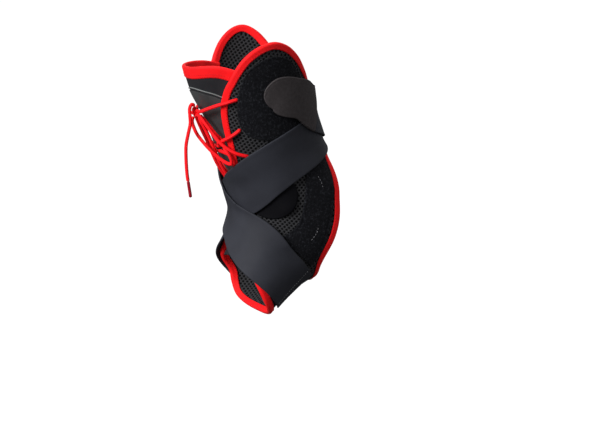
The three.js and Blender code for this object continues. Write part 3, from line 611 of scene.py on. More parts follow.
def laceTube(name, line, reference, ends):
    return tube(name, line, laceSet["diameter"] / 2000, laceSet["sides"], laceBraid, reference, ends)


onPanel, onTape, onTongue = laceSet["onPanel"], laceSet["onTape"], laceSet["onTongue"]
laceRoutes = {
    "lace_top_medial": [
        (53.5, 1.5, onPanel - 2.6), (52.3, 1.5, onPanel - 0.9), (50.5, 1.495, onPanel - 0.2),
        (46, 1.49, onTape + 0.1), (40, 1.5, onTape), (32, 1.52, onTape), (22, 1.56, onTape + 0.4),
        (9.5, 1.62, onTape + 1.2), (3.4, 1.6, onTape + 1)],
    "lace_long_medial": [
        (48.8, 2.93, onPanel - 2.6), (47.8, 2.91, onPanel - 0.9), (46, 2.87, onPanel - 0.1),
        (40, 2.74, onTape + 0.6), (33, 2.56, onTape + 1.9), (26, 2.34, onTape + 2.7),
        (20, 2.12, onTape + 2.2), (15, 1.92, onTape + 2.1), (9, 1.74, onTape + 2),
        (4, 1.68, onTape + 1.6)],
    "lace_cross_upper": [
        (49, 2.19, onPanel - 2.6), (48, 2.2, onPanel - 0.9), (46, 2.22, onPanel), (41, 2.26, onTape),
        (34, 2.31, onTape), (29, 2.34, onTape + 0.1), (24, 2.37, onTape + 0.6),
        (19, 2.42, onTongue + 4.2), (14, 2.52, onTongue + 0.6), (7, 2.57, onTongue - 0.4),
        (-14, 2.62, onTongue - 0.4), (-36, 2.68, onTongue - 0.3), (-47, 2.72, onTongue)],
    "lace_cross_lower": [
        (22, 2.82, onTongue - 0.3), (8, 2.72, onTongue - 0.4), (-8, 2.76, onTongue - 0.4),
        (-26, 2.84, onTongue - 0.3), (-45, 2.92, onTongue)],
    "lace_top_lateral": [
        (-5.6, 1.665, onTape + 0.4), (-12, 1.68, onTongue + 3.6), (-20, 1.72, onTongue + 2.2),
        (-32, 1.72, onTongue + 1.7), (-46, 1.7, onTongue + 0.5), (-57, 1.68, onTongue)],
    "lace_long_lateral": [
        (-4.6, 1.73, onTape - 0.6), (-10, 1.88, onTongue + 2.6), (-16, 2.02, onTongue + 0.8),
        (-28, 2.2, onTongue), (-42, 2.36, onTongue), (-53, 2.46, onTongue)],
    "bow_loop_front": [
        (-2.6, 1.74, onTape + 3.4), (-4.6, 1.85, onTape + 4.7), (-5, 1.95, onTape + 4.9),
        (-3, 2.14, onTape + 4.8), (3, 2.38, onTape + 3.6), (10, 2.62, onTape + 2.2),
        (18, 2.83, onTape + 1.5), (25, 2.98, onTape + 1.1), (29, 3.01, onTape + 1),
        (31, 2.92, onTape + 1), (31, 2.76, onTape + 1), (28.6, 2.63, onTape + 0.8),
        (25.4, 2.53, onTape - 1.2), (23, 2.4, onTape - 3.1), (19.5, 2.16, onTape - 0.6),
        (13.5, 1.93, onTape - 0.3), (8, 1.8, onTape - 0.3), (3.8, 1.73, onTape - 0.3)],
    "bow_loop_tucked": [
        (-2.8, 1.76, onTape + 1.1), (-5, 2.1, onTape - 0.4), (-5.5, 2.4, onTape - 1.5),
        (-5.5, 2.7, onTape - 1.9), (-5, 3.1, onTape - 2.1), (-4.5, 3.6, onTape - 2.5),
        (-3, 3.95, onTape - 2.9), (0, 4.06, onTape - 3), (3, 3.95, onTape - 2.9),
        (4.5, 3.6, onTape - 2.5), (5, 3.1, onTape - 2.1), (5, 2.7, onTape - 1.9),
        (4.5, 2.4, onTape - 1.7), (3.5, 2.1, onTape - 1), (2.5, 1.87, onTape + 0.2),
        (1.4, 1.76, onTape + 0.1)],
}
freeEnd = {"route": [(-74.2, -1.2, 75.6), (-76.6, -1.4, 77.2), (-78.4, -1.4, 74.4), (-78.2, -1.2, 68),
                     (-77.9, -1, 62.6), (-79.8, -1, 54.2), (-81.5, -1, 45.9),
                     (-81.6, -1, 34.2), (-80.8, -1, 22.6), (-80.05, -1, 17.6)],
           "tip": [(-80.1, -1, 18.1), (-78.1, -1, 5.4)]}
knotSet = {"angle": -1, "station": 1.66, "lift": 9.3, "size": 1.12, "wide": 0.93, "tall": 1.15,
           "cord": 1.2, "sides": 16, "steps": 219}

endLine = alongLine(through(np.array(freeEnd["route"]) / 1000), np.linspace(0, 1, laceSet["endSteps"]))
outY = np.array([0.0, 1.0, 0.0])
laceEnd = laceTube("lace_free_end", endLine, outY, 0.5)
tipLine = np.linspace(*np.array(freeEnd["tip"]), laceSet["tipSteps"]) / 1000
laceTip = tube("lace_free_tip", tipLine, laceSet["tip"] / 2000, laceSet["sides"], tipFilm, outY, 0.7)
finishPiece(laceEnd, "lace_cord", "lace_end")
finishPiece(laceTip, "lace_tip", "lace_tip")

for laceName, route in laceRoutes.items():
    angle, station, lift = np.array(route, float).T
    routePoints = upright(onForm(angle, station, lift))
    fine = through(routePoints)
    steps = max(24, int(reachOf(fine)[-1] / laceSet["stepLong"]))
    outward = alongLine(np.hstack([routePoints, outAt(angle, station)]), np.linspace(0, 1, steps))[:, 3:]
    piece = laceTube("tied_" + laceName, alongLine(fine, np.linspace(0, 1, steps)), unit(outward), 0.6)
    finishPiece(piece, "lace_cord", laceName)

# The knot is a trefoil: radius from sin t + 2 sin 2t and cos t - 2 cos 2t, depth from sin 3t, laid on
# the tangent plane of the form where the knot sits
knotAt = np.array([knotSet["angle"]]), np.array([knotSet["station"]])
around, down = slopes(*knotAt)
t = np.linspace(0, 2 * np.pi, knotSet["steps"] + 1)[:-1] + 0.4
local = np.stack([(np.sin(t) + 2 * np.sin(2 * t)) * knotSet["wide"], np.cos(t) - 2 * np.cos(2 * t),
                  -np.sin(3 * t) * knotSet["tall"]], -1) * knotSet["size"]
axes = np.concatenate([unit(around), unit(down), normalAt(*knotAt)])
knotPath = upright(onForm(*knotAt, knotSet["lift"]) + local @ axes)
tangent = unit(np.roll(knotPath, -1, 0) - np.roll(knotPath, 1, 0))
thick = np.full(len(knotPath), knotSet["cord"] / 1000)
rings, turn = circles(knotPath, tangent, knotPath - knotPath.mean(0), thick, knotSet["sides"])
reach = np.linspace(0, reachOf(np.vstack([knotPath, knotPath[:1]]))[-1], len(rings) + 1) / (2 * thick[0])
uv = np.stack(np.broadcast_arrays(reach[:, None], turn[None]), -1)
finishPiece(sweptShell("tied_knot", np.concatenate([rings, rings[:1]]), uv, laceBraid, True),
            "lace_cord", "lace_knot")
print("laces tied")


# Side panels: mesh walls, from their outline's runs

panelSet = {"lift": 3.0, "thickness": 2.5, "seam": 179.97, "columns": 56, "rows": 150,
            "turn": 27, "turnFull": 2.6, "turnNone": 4.3, "footTurn": 42, "footFull": 8.1,
            "footNone": 7, "rim": 1.1, "long": 200, "wide": 70, "puff": 0.12,
            "seams": {"back": (2.3, 3.6), "sole": (7.36, 8.84), "tape": (8.86, 9.0)},
            "seamRadius": 0.00105, "seamSteps": 90}
lobeRun = [(51, 1.11), (57, 0.96), (68, 0.77), (82, 0.67), (95, 0.69), (109, 0.87), (121, 1.15),
           (135, 1.53), (150, 1.88), (164, 2.13), (172, 2.19), (180, 2.19)]
frontRun = [(51, 1.11), (44.5, 1.27), (38, 1.52), (35, 1.74), (33, 2.06), (32, 2.4), (30, 2.78),
            (27, 3.18), (16, 4.4), (11, 5.6), (10, 6.8), (10, 7.75), (15, 8.24)]
footRun = [(15, 8.24), (27, 8.36), (54, 8.49), (76, 8.7), (100, 8.88), (125, 8.94), (180, 8.94)]
heelRun = [(180, 3.7), (172, 3.7), (161, 3.77), (146, 3.98), (132.5, 4.34), (118, 4.82), (109, 5.3),
           (103.5, 6.02), (110, 6.54), (126, 6.95), (152, 7.2), (180, 7.25)]


def turnedBack(rows, side):
    # On the outer side the front edge lies further round, at the leg and at the foot
    rows = np.array(rows, float)
    if side > 0:
        return rows
    leg = 1 - smoothStep(rows[:, 1], panelSet["turnFull"], panelSet["turnNone"])
    sole = smoothStep(rows[:, 1], panelSet["footNone"], panelSet["footFull"])
    front = np.minimum(1, (180 - rows[:, 0]) / (180 - lobeRun[0][0]))
    rows[:, 0] += (panelSet["turn"] * leg + panelSet["footTurn"] * sole) * front
    return rows


def toSeam(rows):
    rows = np.array(rows, float)
    rows[:, 0] = np.minimum(rows[:, 0], panelSet["seam"])
    return rows


def rimLines(side):
    # One line round the free rim, and the parts of it over the lobe, the front and the foot
    lobe = toSeam(turnedBack(lobeRun, side))[::-1]
    front = turnedBack(frontRun, side)[1:]
    foot = toSeam(turnedBack(footRun, side))[1:]
    line = patternLine(np.vstack([lobe, front, foot]))
    lobeEnd = (len(lobe) - 1) * curveSteps
    frontEnd = lobeEnd + len(front) * curveSteps
    return line, line[: lobeEnd + 1][::-1], line[lobeEnd: frontEnd + 1], line[frontEnd:]


sides = {"medial": 1, "lateral": -1}
for sideName, side in sides.items():
    _, top, front, foot = rimLines(side)
    rear = np.vstack([top[-1:], patternLine(toSeam(heelRun)), foot[-1:]])
    u = edgeShares(panelSet["wide"], panelSet["rim"], panelSet["columns"])
    v = edgeShares(panelSet["long"], panelSet["rim"], panelSet["rows"])
    angle, station = fromPattern(coons(front, rear, top, foot, u, v))
    puff = lambda alongU, alongV, rim: panelSet["puff"] * smoothStep(rim, 4, 9)
    piece = pillow("mesh_wall_" + sideName, angle * side, station, panelSet["lift"],
                   panelSet["thickness"], panelSet["rim"], meshCloth, puff, True)
    finishPiece(piece, "mesh", "side_panel_" + sideName)
for seamName, (begin, stop) in panelSet["seams"].items():
    # A cord of thread fills the groove where the two sides, and their tapes, are sewn edge to edge
    station = np.linspace(begin, stop, panelSet["seamSteps"])
    seamAngle = np.full_like(station, 180.0)
    seamLine = upright(onForm(seamAngle, station, panelSet["lift"] + panelSet["thickness"] / 2))
    red = seamName == "tape"
    piece = tube(seamName + "_seam", seamLine, panelSet["seamRadius"], 12,
                 redThread if red else blackThread, outAt(seamAngle, station))
    finishPiece(piece, "binding_tape" if red else "mesh")
print("side panels made")


# Stitches: small rounded threads laid in rows

# step, length and radius of each kind's stitches in millimetres, with its material and slot
threads = {"edge": (2.4, 1.7, 0.24, redThread, "binding_tape"),
           "tongue": (2.1, 1.5, 0.26, redThread, "binding_tape"),
           "marks": (2.3, 1.4, 0.2, greyThread, "loop_fabric"),
           "strap": (2.0, 1.5, 0.22, greyThread, "strap_elastic")}


def threadRow(centres, along, normal, length, radius):
    # One rounded bead of thread per centre: a coarse grid of a stretched sphere. Returns the
    # points, faces and map of them all.
    a, b = np.meshgrid(np.linspace(0, np.pi, 5), np.linspace(0, 2 * np.pi, 7), indexing="ij")
    bead = np.stack([np.cos(a) * length / 2, np.sin(a) * np.cos(b) * radius,
                     np.sin(a) * np.sin(b) * radius], -1).reshape(-1, 3)
    along = unit(along - normal * np.sum(along * normal, -1, keepdims=True))
    axes = np.stack([along, np.cross(normal, along), normal], 1)
    points = centres[:, None] + np.einsum("kc,ncd->nkd", bead, axes)
    faces = (gridQuads(*a.shape) + np.arange(len(centres))[:, None, None] * len(bead)).reshape(-1, 4)
    uv = np.tile(np.stack([a / np.pi, b / (2 * np.pi)], -1).reshape(-1, 2), (len(centres), 1))
    return points.reshape(-1, 3), faces, uv


def stitchLine(name, kind, angle, station, lift, slant=0.0):
    # Even stitches along a line of places on the form, each turned by the slant
    step, length, radius, material, slotName = threads[kind]
    line = upright(onForm(angle, station, lift))
    count = max(2, int(reachOf(line)[-1] * 1000 / step))
    # the places ride along, scaled down so that they add nothing to the line's length
    places = alongLine(np.column_stack([line, angle / 1e6, station / 1e6]),
                       (np.arange(count) + 0.5) / count)
    centres, angles, stations = places[:, :3], places[:, 3] * 1e6, places[:, 4] * 1e6
    along = unit(np.gradient(centres, axis=0))
    normal = outAt(angles, stations)
    turn = math.radians(slant)
    along = along * math.cos(turn) + np.cross(normal, along) * math.sin(turn)
    beads = threadRow(centres, along, normal, length / 1000, radius / 1000)
    finishPiece(shell(name, *beads, material), slotName)


# Binding tape, folded over the edges

tapeSet = {"inner": 1.95, "outer": 6.45, "wall": 0.75, "width": 3.5, "fold": 1.9,
           "edgeSteps": 420, "heelSteps": 200, "seamIn": 2.7, "seamLift": 0.02}


def tapeProfile(inner, outer, width, fold, wall):
    # Flat U in inset and lift: out along the inner face, round a half-circle fold, back along
    # the outer face to a rounded hem, and the same inside at the wall's thickness
    middle, half = (inner + outer) / 2, (outer - inner) / 2
    turn = np.linspace(-90, 90, 15)[1:-1]
    bend = lambda size, depth: np.column_stack([-depth * np.cos(np.radians(turn)),
                                                middle + size * np.sin(np.radians(turn))])
    legs = np.linspace(width - wall * 0.5, 0, 7)[:, None]
    flat = lambda lift: np.hstack([legs, np.full_like(legs, lift)])
    hemLow = [(width, inner + wall * 0.35), (width, inner + wall * 0.7)]
    hemHigh = [(width, outer - wall * 0.7), (width, outer - wall * 0.35)]
    outside = np.vstack([flat(inner), bend(half, fold), flat(outer)[::-1]])
    inside = np.vstack([flat(inner + wall), bend(half - wall, fold - wall), flat(outer - wall)[::-1]])
    return np.vstack([outside, hemHigh[::-1], inside[::-1], hemLow[::-1]])


def foldedTape(name, line, side, steps, profile, material, flare=None, inward=1):
    # The profile carried along the edge, each point walked over the form by its inset
    shares = np.linspace(0, 1, steps)
    at = lambda s: fromPattern(alongLine(line, s))
    here, before, after = at(shares), at(shares - 0.0015), at(shares + 0.0015)
    angle, station = here[0] * side, here[1]
    along = unit(skin(after[0] * side, after[1]) - skin(before[0] * side, before[1]))
    heading = np.cross(along, normalAt(angle, station)) * inward
    grid = lambda values: np.repeat(values[:, None], len(profile), 1)
    heading = np.repeat(heading[:, None], len(profile), 1)
    inset = np.broadcast_to(profile[None, :, 0], heading.shape[:2])
    walked = walk(grid(angle), grid(station), heading, inset, 3)
    lift = profile[None, :, 1] + (flare(*walked) if flare else 0)
    rings = upright(onForm(*walked, lift))
    across = reachOf(profile)
    across = np.append(across, across[-1] + 0.5) / 1000
    uv = np.stack(np.broadcast_arrays(reachOf(rings[:, 0])[:, None], across[None]), -1)
    piece = sweptShell(name, np.concatenate([rings, rings[:, :1]], 1), uv, material)
    seam = walk(angle, station, heading[:, 0], np.full(steps, tapeSet["seamIn"]), 3)
    return piece, seam


profile = tapeProfile(tapeSet["inner"], tapeSet["outer"], tapeSet["width"], tapeSet["fold"],
                      tapeSet["wall"])
for sideName, side in sides.items():
    rim, heel = rimLines(side)[0], patternLine(toSeam(heelRun))
    for tapeName, line, inward in (("edge", rim, -side), ("heel", heel, side)):
        piece, seam = foldedTape("red_%s_tape_%s" % (tapeName, sideName), line, side,
                                 tapeSet[tapeName + "Steps"], profile, tapeCloth, inward=inward)
        finishPiece(piece, "binding_tape", "%s_binding_%s" % (tapeName, sideName))
        stitchLine("red_%s_stitches_%s" % (tapeName, sideName), "edge", *seam,
                   tapeSet["outer"] + tapeSet["seamLift"])
print("bindings folded")


# Tongue, its overlay, piping and red tape

tongueSet = {"lift": -1.5, "thickness": 2.2, "rim": 1.0, "foot": (-36, 30, 8.4),
             "wide": 70, "long": 140, "steps": 200,
             # each piping's stations above the overlay's edge, and its radius; the lower one is a black
             # cord that paints the shade of the groove under the grey piping
             "piping": {"upper": (0.055, 0.5), "lower": (0.0, 0.42)}, "pipingLift": 0.95,
             # inner and outer lift and width of the tape, insets of its two rows of stitches
             "tape": (-1.9, 1.35, 7.4), "stitches": {"upper": 4.4, "lower": 6.4}, "stitchLift": 1.38,
             "slant": 12}
# where the tongue's upper end stands off: fully up to one angle from the middle and not past
# another, which is wider at the top; and fully above one station and not below another
flareSet = {"high": 5.2, "middle": -8, "full": 16, "none": 44, "wider": 14, "widerDown": (0.8, 1.3),
            "down": (1.1, 2.1)}
overlaySet = {"lift": 0.62, "thickness": 0.7, "rim": 0.6, "foot": (-20, 20, 6.6)}
tongueTop = [(-80, 1.2), (-60, 0.98), (-40, 0.84), (-19, 0.77), (4, 0.74), (24, 0.74), (38, 0.8),
             (54, 0.96), (62, 1.08)]
overlayTop = [(-72, 1.5), (-40, 1.38), (-18, 1.27), (-3, 1.2), (11, 1.22), (24, 1.34), (36, 1.48),
              (50, 1.58)]


def flareAt(angle, station):
    # How far the tongue's upper end stands off the leg: most at the front and the top
    none = flareSet["none"] + flareSet["wider"] * (1 - smoothStep(station, *flareSet["widerDown"]))
    front = 1 - smoothStep(np.abs(angle - flareSet["middle"]), flareSet["full"], none)
    return flareSet["high"] * front * (1 - smoothStep(station, *flareSet["down"]))


def tongueSheet(name, topRows, sheet, columns, rows, material):
    # From the curved top the sides draw in smoothly to the foot end
    foot = sheet["foot"]
    u = edgeShares(tongueSet["wide"], sheet["rim"], columns)
    v = edgeShares(tongueSet["long"], sheet["rim"], rows) ** 1.3
    start = fromPattern(alongLine(patternLine(topRows), u))
    end = foot[0] + (foot[1] - foot[0]) * u
    angle = start[0][:, None] + (end - start[0])[:, None] * smoothStep(v, 0, 1)[None]
    station = start[1][:, None] + (foot[2] - start[1])[:, None] * v[None]
    return pillow(name, angle, station, sheet["lift"] + flareAt(angle, station), sheet["thickness"],
                  sheet["rim"], material)


piece = tongueSheet("tongue_pad", tongueTop, tongueSet, 56, 90, tongueCloth)
finishPiece(piece, "tongue_foam", "tongue")
piece = tongueSheet("tongue_smooth_panel", overlayTop, overlaySet, 50, 80, tongueSkin)
finishPiece(piece, "leatherette", "tongue_overlay")
angle, edge = fromPattern(alongLine(patternLine(overlayTop), np.linspace(0, 1, 160)))
# The upper piping is the grey cord; the lower is a black cord along the overlay's edge, painted shade in
# the groove beneath the piping
for pipingName, (higher, size) in tongueSet["piping"].items():
    upper, station = pipingName == "upper", edge - higher
    pipingLine = upright(onForm(angle, station, tongueSet["pipingLift"] + flareAt(angle, station)))
    piece = tube("tongue_piping_" + pipingName, pipingLine, size / 1000, 10,
                 pipingCord if upper else blackThread, outAt(angle, station))
    finishPiece(piece, "leatherette" if upper else "tongue_foam")
tongueProfile = tapeProfile(*tongueSet["tape"], tapeSet["fold"], tapeSet["wall"])
piece, _ = foldedTape("red_tongue_tape", patternLine(tongueTop), 1, tongueSet["steps"],
                      tongueProfile, tapeCloth, flareAt)
finishPiece(piece, "binding_tape", "tongue_binding")
shares = np.linspace(0.01, 0.99, tongueSet["steps"])
at, ahead = (fromPattern(alongLine(patternLine(tongueTop), shares + step)) for step in (0, 0.002))
heading = np.cross(unit(skin(*ahead) - skin(*at)), normalAt(*at))
for row, inset in tongueSet["stitches"].items():
    angle, station = walk(*at, heading, np.full(len(shares), inset), 3)
    stitchLine("tongue_tape_stitches_" + row, "tongue", angle, station,
               tongueSet["stitchLift"] + flareAt(angle, station), tongueSet["slant"])
print("tongue made")


# Loop patches and ankle pads

patchSet = {"lift": 5.45, "thickness": 1.3, "rim": 0.9, "long": 60, "wide": {"upper": 60, "lower": 22},
            "grid": {"upper": (60, 74), "lower": (30, 60)},
            "seamIn": 2.6, "seamDeep": 0.3, "seamWide": 0.5,
            "flat": {"upper": (0.066, 0.070), "lower": (0.034, 0.080)},
            "markLift": 0.05,
            "marks": {"upper": [(104, 4.4), (102.5, 4.58), (100, 4.78)],
                      "lower": [(88, 5.92), (88, 6.14), (87.5, 6.38)]}}
upperPatch = {
    "front": [(69, 0.97), (60.5, 1.19), (54.5, 1.5), (50.5, 1.86), (51, 2.14), (56, 2.38)],
    "rear": [(113, 1.22), (126, 1.62), (141, 2.08), (156, 2.44), (164, 2.7), (164, 3.05)],
    "top": [(69, 0.97), (82, 0.88), (94, 0.9), (104, 1.02), (113, 1.22)],
    "foot": [(56, 2.38), (66, 2.55), (82, 2.74), (106, 2.96), (134, 3.06), (164, 3.05)],
}
lowerPatch = {
    "front": [(98, 3.76), (94.5, 4.2), (87.5, 4.64), (79, 5.24), (73, 5.74), (67, 6.35), (61, 6.85)],
    "rear": [(135, 4.02), (125, 4.37), (111.5, 4.84), (102.5, 5.32), (97, 6), (101, 6.4),
             (108, 6.75), (112, 7.1)],
}


def sewnRim(alongU, alongV, rim):
    # Narrow groove where the patch is sewn down, a little in from its rim
    return -patchSet["seamDeep"] * np.exp(-((rim - patchSet["seamIn"]) / patchSet["seamWide"]) ** 2)


for sideName, side in sides.items():
    for patchName, edges in (("upper", upperPatch), ("lower", lowerPatch)):
        nodeName = "loop_patch_%s_%s" % (patchName, sideName)
        lines = {key: patternLine(turnedBack(rows, side)) for key, rows in edges.items()}
        for key, index in (("top", 0), ("foot", -1)):
            if key not in lines:
                lines[key] = np.linspace(lines["front"][index], lines["rear"][index], 40)
        columns, rows = patchSet["grid"][patchName]
        u = edgeShares(patchSet["wide"][patchName], patchSet["rim"], columns)
        v = edgeShares(patchSet["long"], patchSet["rim"], rows)
        places = coons(lines["front"], lines["rear"], lines["top"], lines["foot"], u, v)
        angle, station = fromPattern(places)
        piece = pillow(nodeName + "_pile", angle * side, station, patchSet["lift"],
                       patchSet["thickness"], patchSet["rim"], loopCloth, sewnRim)
        finishPiece(piece, "loop_fabric", nodeName)
    for markName, ends in patchSet["marks"].items():
        angle, station = fromPattern(patternLine(turnedBack(ends, side)))
        stitchLine("loop_marks_%s_%s" % (markName, sideName), "marks", angle * side, station,
                   patchSet["lift"] + patchSet["thickness"] + patchSet["markLift"])

padSet = {"angle": 51.0, "station": 4.96, "radius": 17.6, "lift": 5.45, "thickness": 1.2, "rim": 1.2,
          "spokes": 96, "rings": 26,
          "bulge": 1.6, "bulgeAngle": 65, "bulgeStation": 5.4, "bulgeReach": 7.0}
for sideName, side in sides.items():
    # Disc of spokes and rings walked out from its centre; height is a rounded rim plus a bell bump
    turn = np.linspace(0, 2 * np.pi, padSet["spokes"] + 1)[:, None]
    out = np.sin(np.linspace(0, np.pi / 2, padSet["rings"]))[None] * padSet["radius"]
    centre = np.full((1, 1), padSet["angle"] * side), np.full((1, 1), padSet["station"])
    axisU = unit(slopes(*centre)[0])
    axisV = np.cross(normalAt(*centre), axisU)
    heading = axisU * np.cos(turn)[..., None] + axisV * np.sin(turn)[..., None]
    places = np.broadcast_arrays(*centre, turn + out)[:2]
    grid = walk(*places, heading, out, 5)
    bulgeCentre = skin(np.array([padSet["bulgeAngle"] * side]), np.array([padSet["bulgeStation"]]))
    reach = np.linalg.norm(skin(*grid) - bulgeCentre, axis=-1) / padSet["bulgeReach"]
    rimTo = rimFactor(padSet["radius"] - out, padSet["rim"])
    middle, half = padSet["lift"] + padSet["thickness"] / 2, padSet["thickness"] / 2
    outer = onForm(*grid, middle + (half + padSet["bulge"] * np.exp(-reach**2)) * rimTo)
    inner = onForm(*grid, middle - half * rimTo)
    flat = np.stack([out * np.cos(turn), out * np.sin(turn)], -1) / 1000
    # The pad's cloth is darker than its own colour: painted shade
    piece = sewnShell("ankle_bulge_" + sideName, upright(outer), upright(inner), flat, padClothWithPaintedShade)
    finishPiece(piece, "pad_cover", "ankle_pad_" + sideName)
print("patches and pads made")


# Straps and tabs

strapSet = {"width": 38, "waist": 1, "low": 7.0, "high": 9.15, "thickness": 1.45, "steps": 420,
            "across": 26, "rim": 0.7, "gap": 0.1, "selvedge": 0.1,
            "endSeam": 6.5, "seamWide": 0.93, "seamLift": 0.04}
tabSet = {"width": 30, "length": 44, "thickness": 1.85, "rim": 0.9, "steps": 130, "across": 40,
          "root": 0.4, "ridge": 0.5, "ridgeStep": 2.9, "ridgeRows": 4, "ridgeFrom": 1.5,
          "groove": 0.16, "grooveIn": 2.0}
strapRoutes = {
    "inner": [
        (128, 8.04, 0), (114, 8.02, 0), (97, 7.98, 0), (78, 7.93, 0.1), (60, 7.83, 0.7), (43, 7.61, 1),
        (25, 7.27, 1), (9, 6.86, 1), (-7, 6.42, 1), (-23, 5.82, 1), (-39, 5.12, 1), (-56, 4.42, 1),
        (-75, 3.8, 1), (-98, 3.34, 1), (-124, 3.3, 1), (-150, 3.24, 1), (-180, 3.02, 1),
        (-206, 2.68, 1), (-224, 2.37, 1), (-240, 2.05, 1), (-254, 1.87, 0.8), (-267, 1.67, 0.3),
        (-280, 1.53, 0)],
    "outer": [
        (-116, 7.86, 0), (-97, 7.8, 0), (-78, 7.66, 0), (-58, 7.3, 0), (-40, 6.8, 0), (-24, 6.2, 0),
        (-8, 5.55, 0), (8, 4.98, 0), (22, 4.5, 0), (38, 4.12, 0), (56, 3.79, 0), (75, 3.55, 0),
        (98, 3.38, 0), (124, 3.3, 0), (150, 3.22, 0), (180, 3.02, 0), (206, 2.68, 0), (224, 2.37, 0),
        (240, 2.05, 0), (254, 1.87, 0), (267, 1.67, 0), (280, 1.53, 0)],
}


def ribbonPlaces(line, shares, across, halfWidth):
    # Places across a route: walked to each side of it by shares of the half width
    here = alongLine(line, shares)
    behind, ahead = (fromPattern(alongLine(line, shares + step)) for step in (-0.004, 0.004))
    angle, station = fromPattern(here)
    along = unit(skin(*ahead) - skin(*behind))
    sideways = unit(np.cross(normalAt(angle, station), along))
    shape = (len(shares), len(across))
    grid = walk(np.broadcast_to(angle[:, None], shape), np.broadcast_to(station[:, None], shape),
                np.broadcast_to(sideways[:, None], (*shape, 3)),
                across[None] * halfWidth[:, None], 5)
    return grid, np.broadcast_to(here[:, 2:3], shape)


def floorAt(layer):
    return strapSet["low"] + (strapSet["high"] - strapSet["low"]) * np.clip(layer, 0, 1)


def routeLength(line):
    places = fromPattern(alongLine(line, np.linspace(0, 1, 201)))
    return reachOf(skin(*places))[-1]


def routeSpan(line, start, stop, lift):
    # Length of a route between two shares of it, at its own height over the form
    places = alongLine(line, np.linspace(start, stop, 301))
    return float(reachOf(onForm(*fromPattern(places), lift(places[:, 2])))[-1])


for strapName, tabName in (("inner", "tab_medial"), ("outer", "tab_lateral")):
    line = patternLine(strapRoutes[strapName])
    length = routeLength(line)
    tabStart = 1 - tabSet["length"] / length
    end = tabStart - strapSet["gap"] / length
    shares = edgeShares(end * length, strapSet["rim"], strapSet["steps"]) * end
    left = (end - shares) * length
    narrow = 1 - smoothStep(left, 0, strapSet["width"] / 2)
    halfWidth = strapSet["width"] / 2 - strapSet["waist"] / 2 * narrow
    across = edgeShares(strapSet["width"], strapSet["rim"], strapSet["across"]) * 2 - 1
    (angle, station), layer = ribbonPlaces(line, shares, across, halfWidth)
    # a raised edge and soft waves along the elastic
    selvedge = lambda alongU, alongV, rim: strapSet["selvedge"] * (
        np.exp(-((rim - 1.1) / 0.45) ** 2)
        + np.sin(alongV / strapSet["width"] * np.pi * 3 + alongU / 21) * smoothStep(rim, 1, 6))
    piece = pillow("elastic_strap_" + strapName, angle, station, floorAt(layer),
                   strapSet["thickness"], strapSet["rim"], elasticCloth, selvedge)
    finishPiece(piece, "strap_elastic", "strap_" + strapName)
    routeSpan(line, 0, end, floorAt) / 1000
    seamShare = np.array([strapSet["endSeam"] / length])
    across = np.linspace(-1, 1, 60) * strapSet["seamWide"]
    (angle, station), layer = ribbonPlaces(line, seamShare, across, np.full(1, strapSet["width"] / 2))
    stitchLine("strap_seam_" + strapName, "strap", angle[0], station[0],
               floorAt(layer[0]) + strapSet["thickness"] + strapSet["seamLift"])

    shares = tabStart + edgeShares(tabSet["length"], tabSet["rim"], tabSet["steps"]) * (1 - tabStart)
    done = (shares - tabStart) * length
    roundEnd = tabSet["width"] / 2
    past = np.maximum(0, roundEnd - (tabSet["length"] - done)) / roundEnd
    body = roundEnd * np.sqrt(np.maximum(0.004, 1 - past**2))
    root = 1 - smoothStep(done, 0, tabSet["length"] * tabSet["root"])
    halfWidth = body + ((strapSet["width"] - strapSet["waist"]) / 2 - roundEnd) * root
    across = edgeShares(tabSet["width"], tabSet["rim"], tabSet["across"]) * 2 - 1
    (angle, station), layer = ribbonPlaces(line, shares, across, halfWidth)
    # sewn ridges across the root and a groove along the edge
    ridgeAt = lambda alongU: np.clip((alongU - tabSet["ridgeFrom"]) / tabSet["ridgeStep"], 0,
                                     tabSet["ridgeRows"])
    ridges = lambda alongU, alongV, rim: (tabSet["ridge"] * np.sin(ridgeAt(alongU) * np.pi) ** 2
                                          - tabSet["groove"]
                                          * np.exp(-((rim - tabSet["grooveIn"]) / 0.35) ** 2))
    piece = pillow("grip_" + tabName, angle, station, floorAt(layer), tabSet["thickness"],
                   tabSet["rim"], tabCloth, ridges)
    finishPiece(piece, "tab_fabric", tabName)
    long = routeSpan(line, tabStart, 1, floorAt) / 1000
print("straps made")


# Floor, light and surroundings

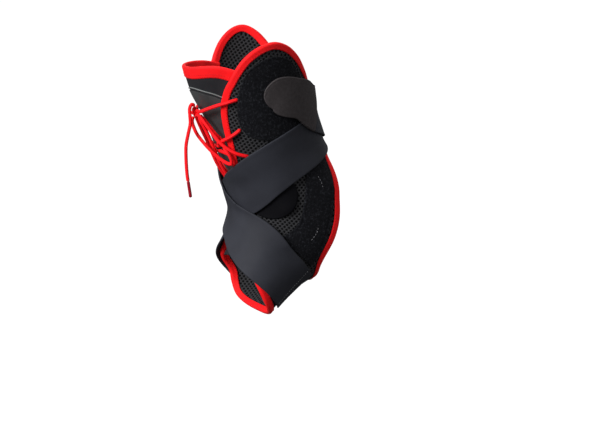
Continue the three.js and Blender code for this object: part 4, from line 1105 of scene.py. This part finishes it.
lightSet = {"world": 0.5, "floor": -0.16, "floorSpan": 6, "floorGlow": 0.96,
            # place, width and power of each lamp
            "lamps": {"key": ((-1.85, -0.45, 1.0), 0.9, 62), "fill": ((1.0, -1.6, 0.5), 1.2, 2),
                      "top": ((0.2, 0.6, 1.8), 1.0, 16)}}
floorMaterial, t, shader, _ = startMaterial("pale floor")
seen = t.add("ShaderNodeLightPath").outputs["Is Camera Ray"]
t.feed(shader, (("Base Color", (0.08, 0.08, 0.08, 1)), ("Roughness", 0.9),
                ("Emission Color", (1, 1, 1, 1)),
                ("Emission Strength", t.math("MULTIPLY", seen, lightSet["floorGlow"]))))
across = np.linspace(-lightSet["floorSpan"], lightSet["floorSpan"], 9)
u, v = np.meshgrid(across, across, indexing="ij")
floorPoints = np.stack([u, v, np.full_like(u, lightSet["floor"])], -1).reshape(-1, 3)
floorFaces = gridQuads(9, 9)
floorPiece = buildMesh("floor", floorPoints, floorFaces.tolist(), np.zeros((len(floorFaces) * 4, 2)),
                       floorMaterial, False)
floorPiece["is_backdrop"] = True

world = bpy.data.worlds.new("studio")
world.use_nodes = True
t = Tree(world.node_tree)
seen = t.add("ShaderNodeLightPath").outputs["Is Camera Ray"]
glow = t.math("MULTIPLY_ADD", seen, 1 - lightSet["world"], lightSet["world"])
t.feed(world.node_tree.nodes["Background"], ((0, (1, 1, 1, 1)), (1, glow)))
bpy.context.scene.world = world

for lampName, (place, size, power) in lightSet["lamps"].items():
    # A lamp shines along its own -Z, which is turned towards the middle of the part
    data = bpy.data.lights.new(lampName, "AREA")
    data.shape, data.size, data.energy = "DISK", size, power
    lamp = bpy.data.objects.new(lampName, data)
    lamp.location = place
    aim = unit(np.array([0, 0, 0.02]) - place)
    lamp.rotation_euler = (math.acos(-aim[2]), 0, math.atan2(-aim[0], aim[1]))
    bpy.context.collection.objects.link(lamp)

bpy.context.view_layer.update()
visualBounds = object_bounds()
plain = lambda corners: [[float(value) for value in corner] for corner in corners]
{"cad": plain(cadBounds), "visual": plain(visualBounds)}
print("scene done")
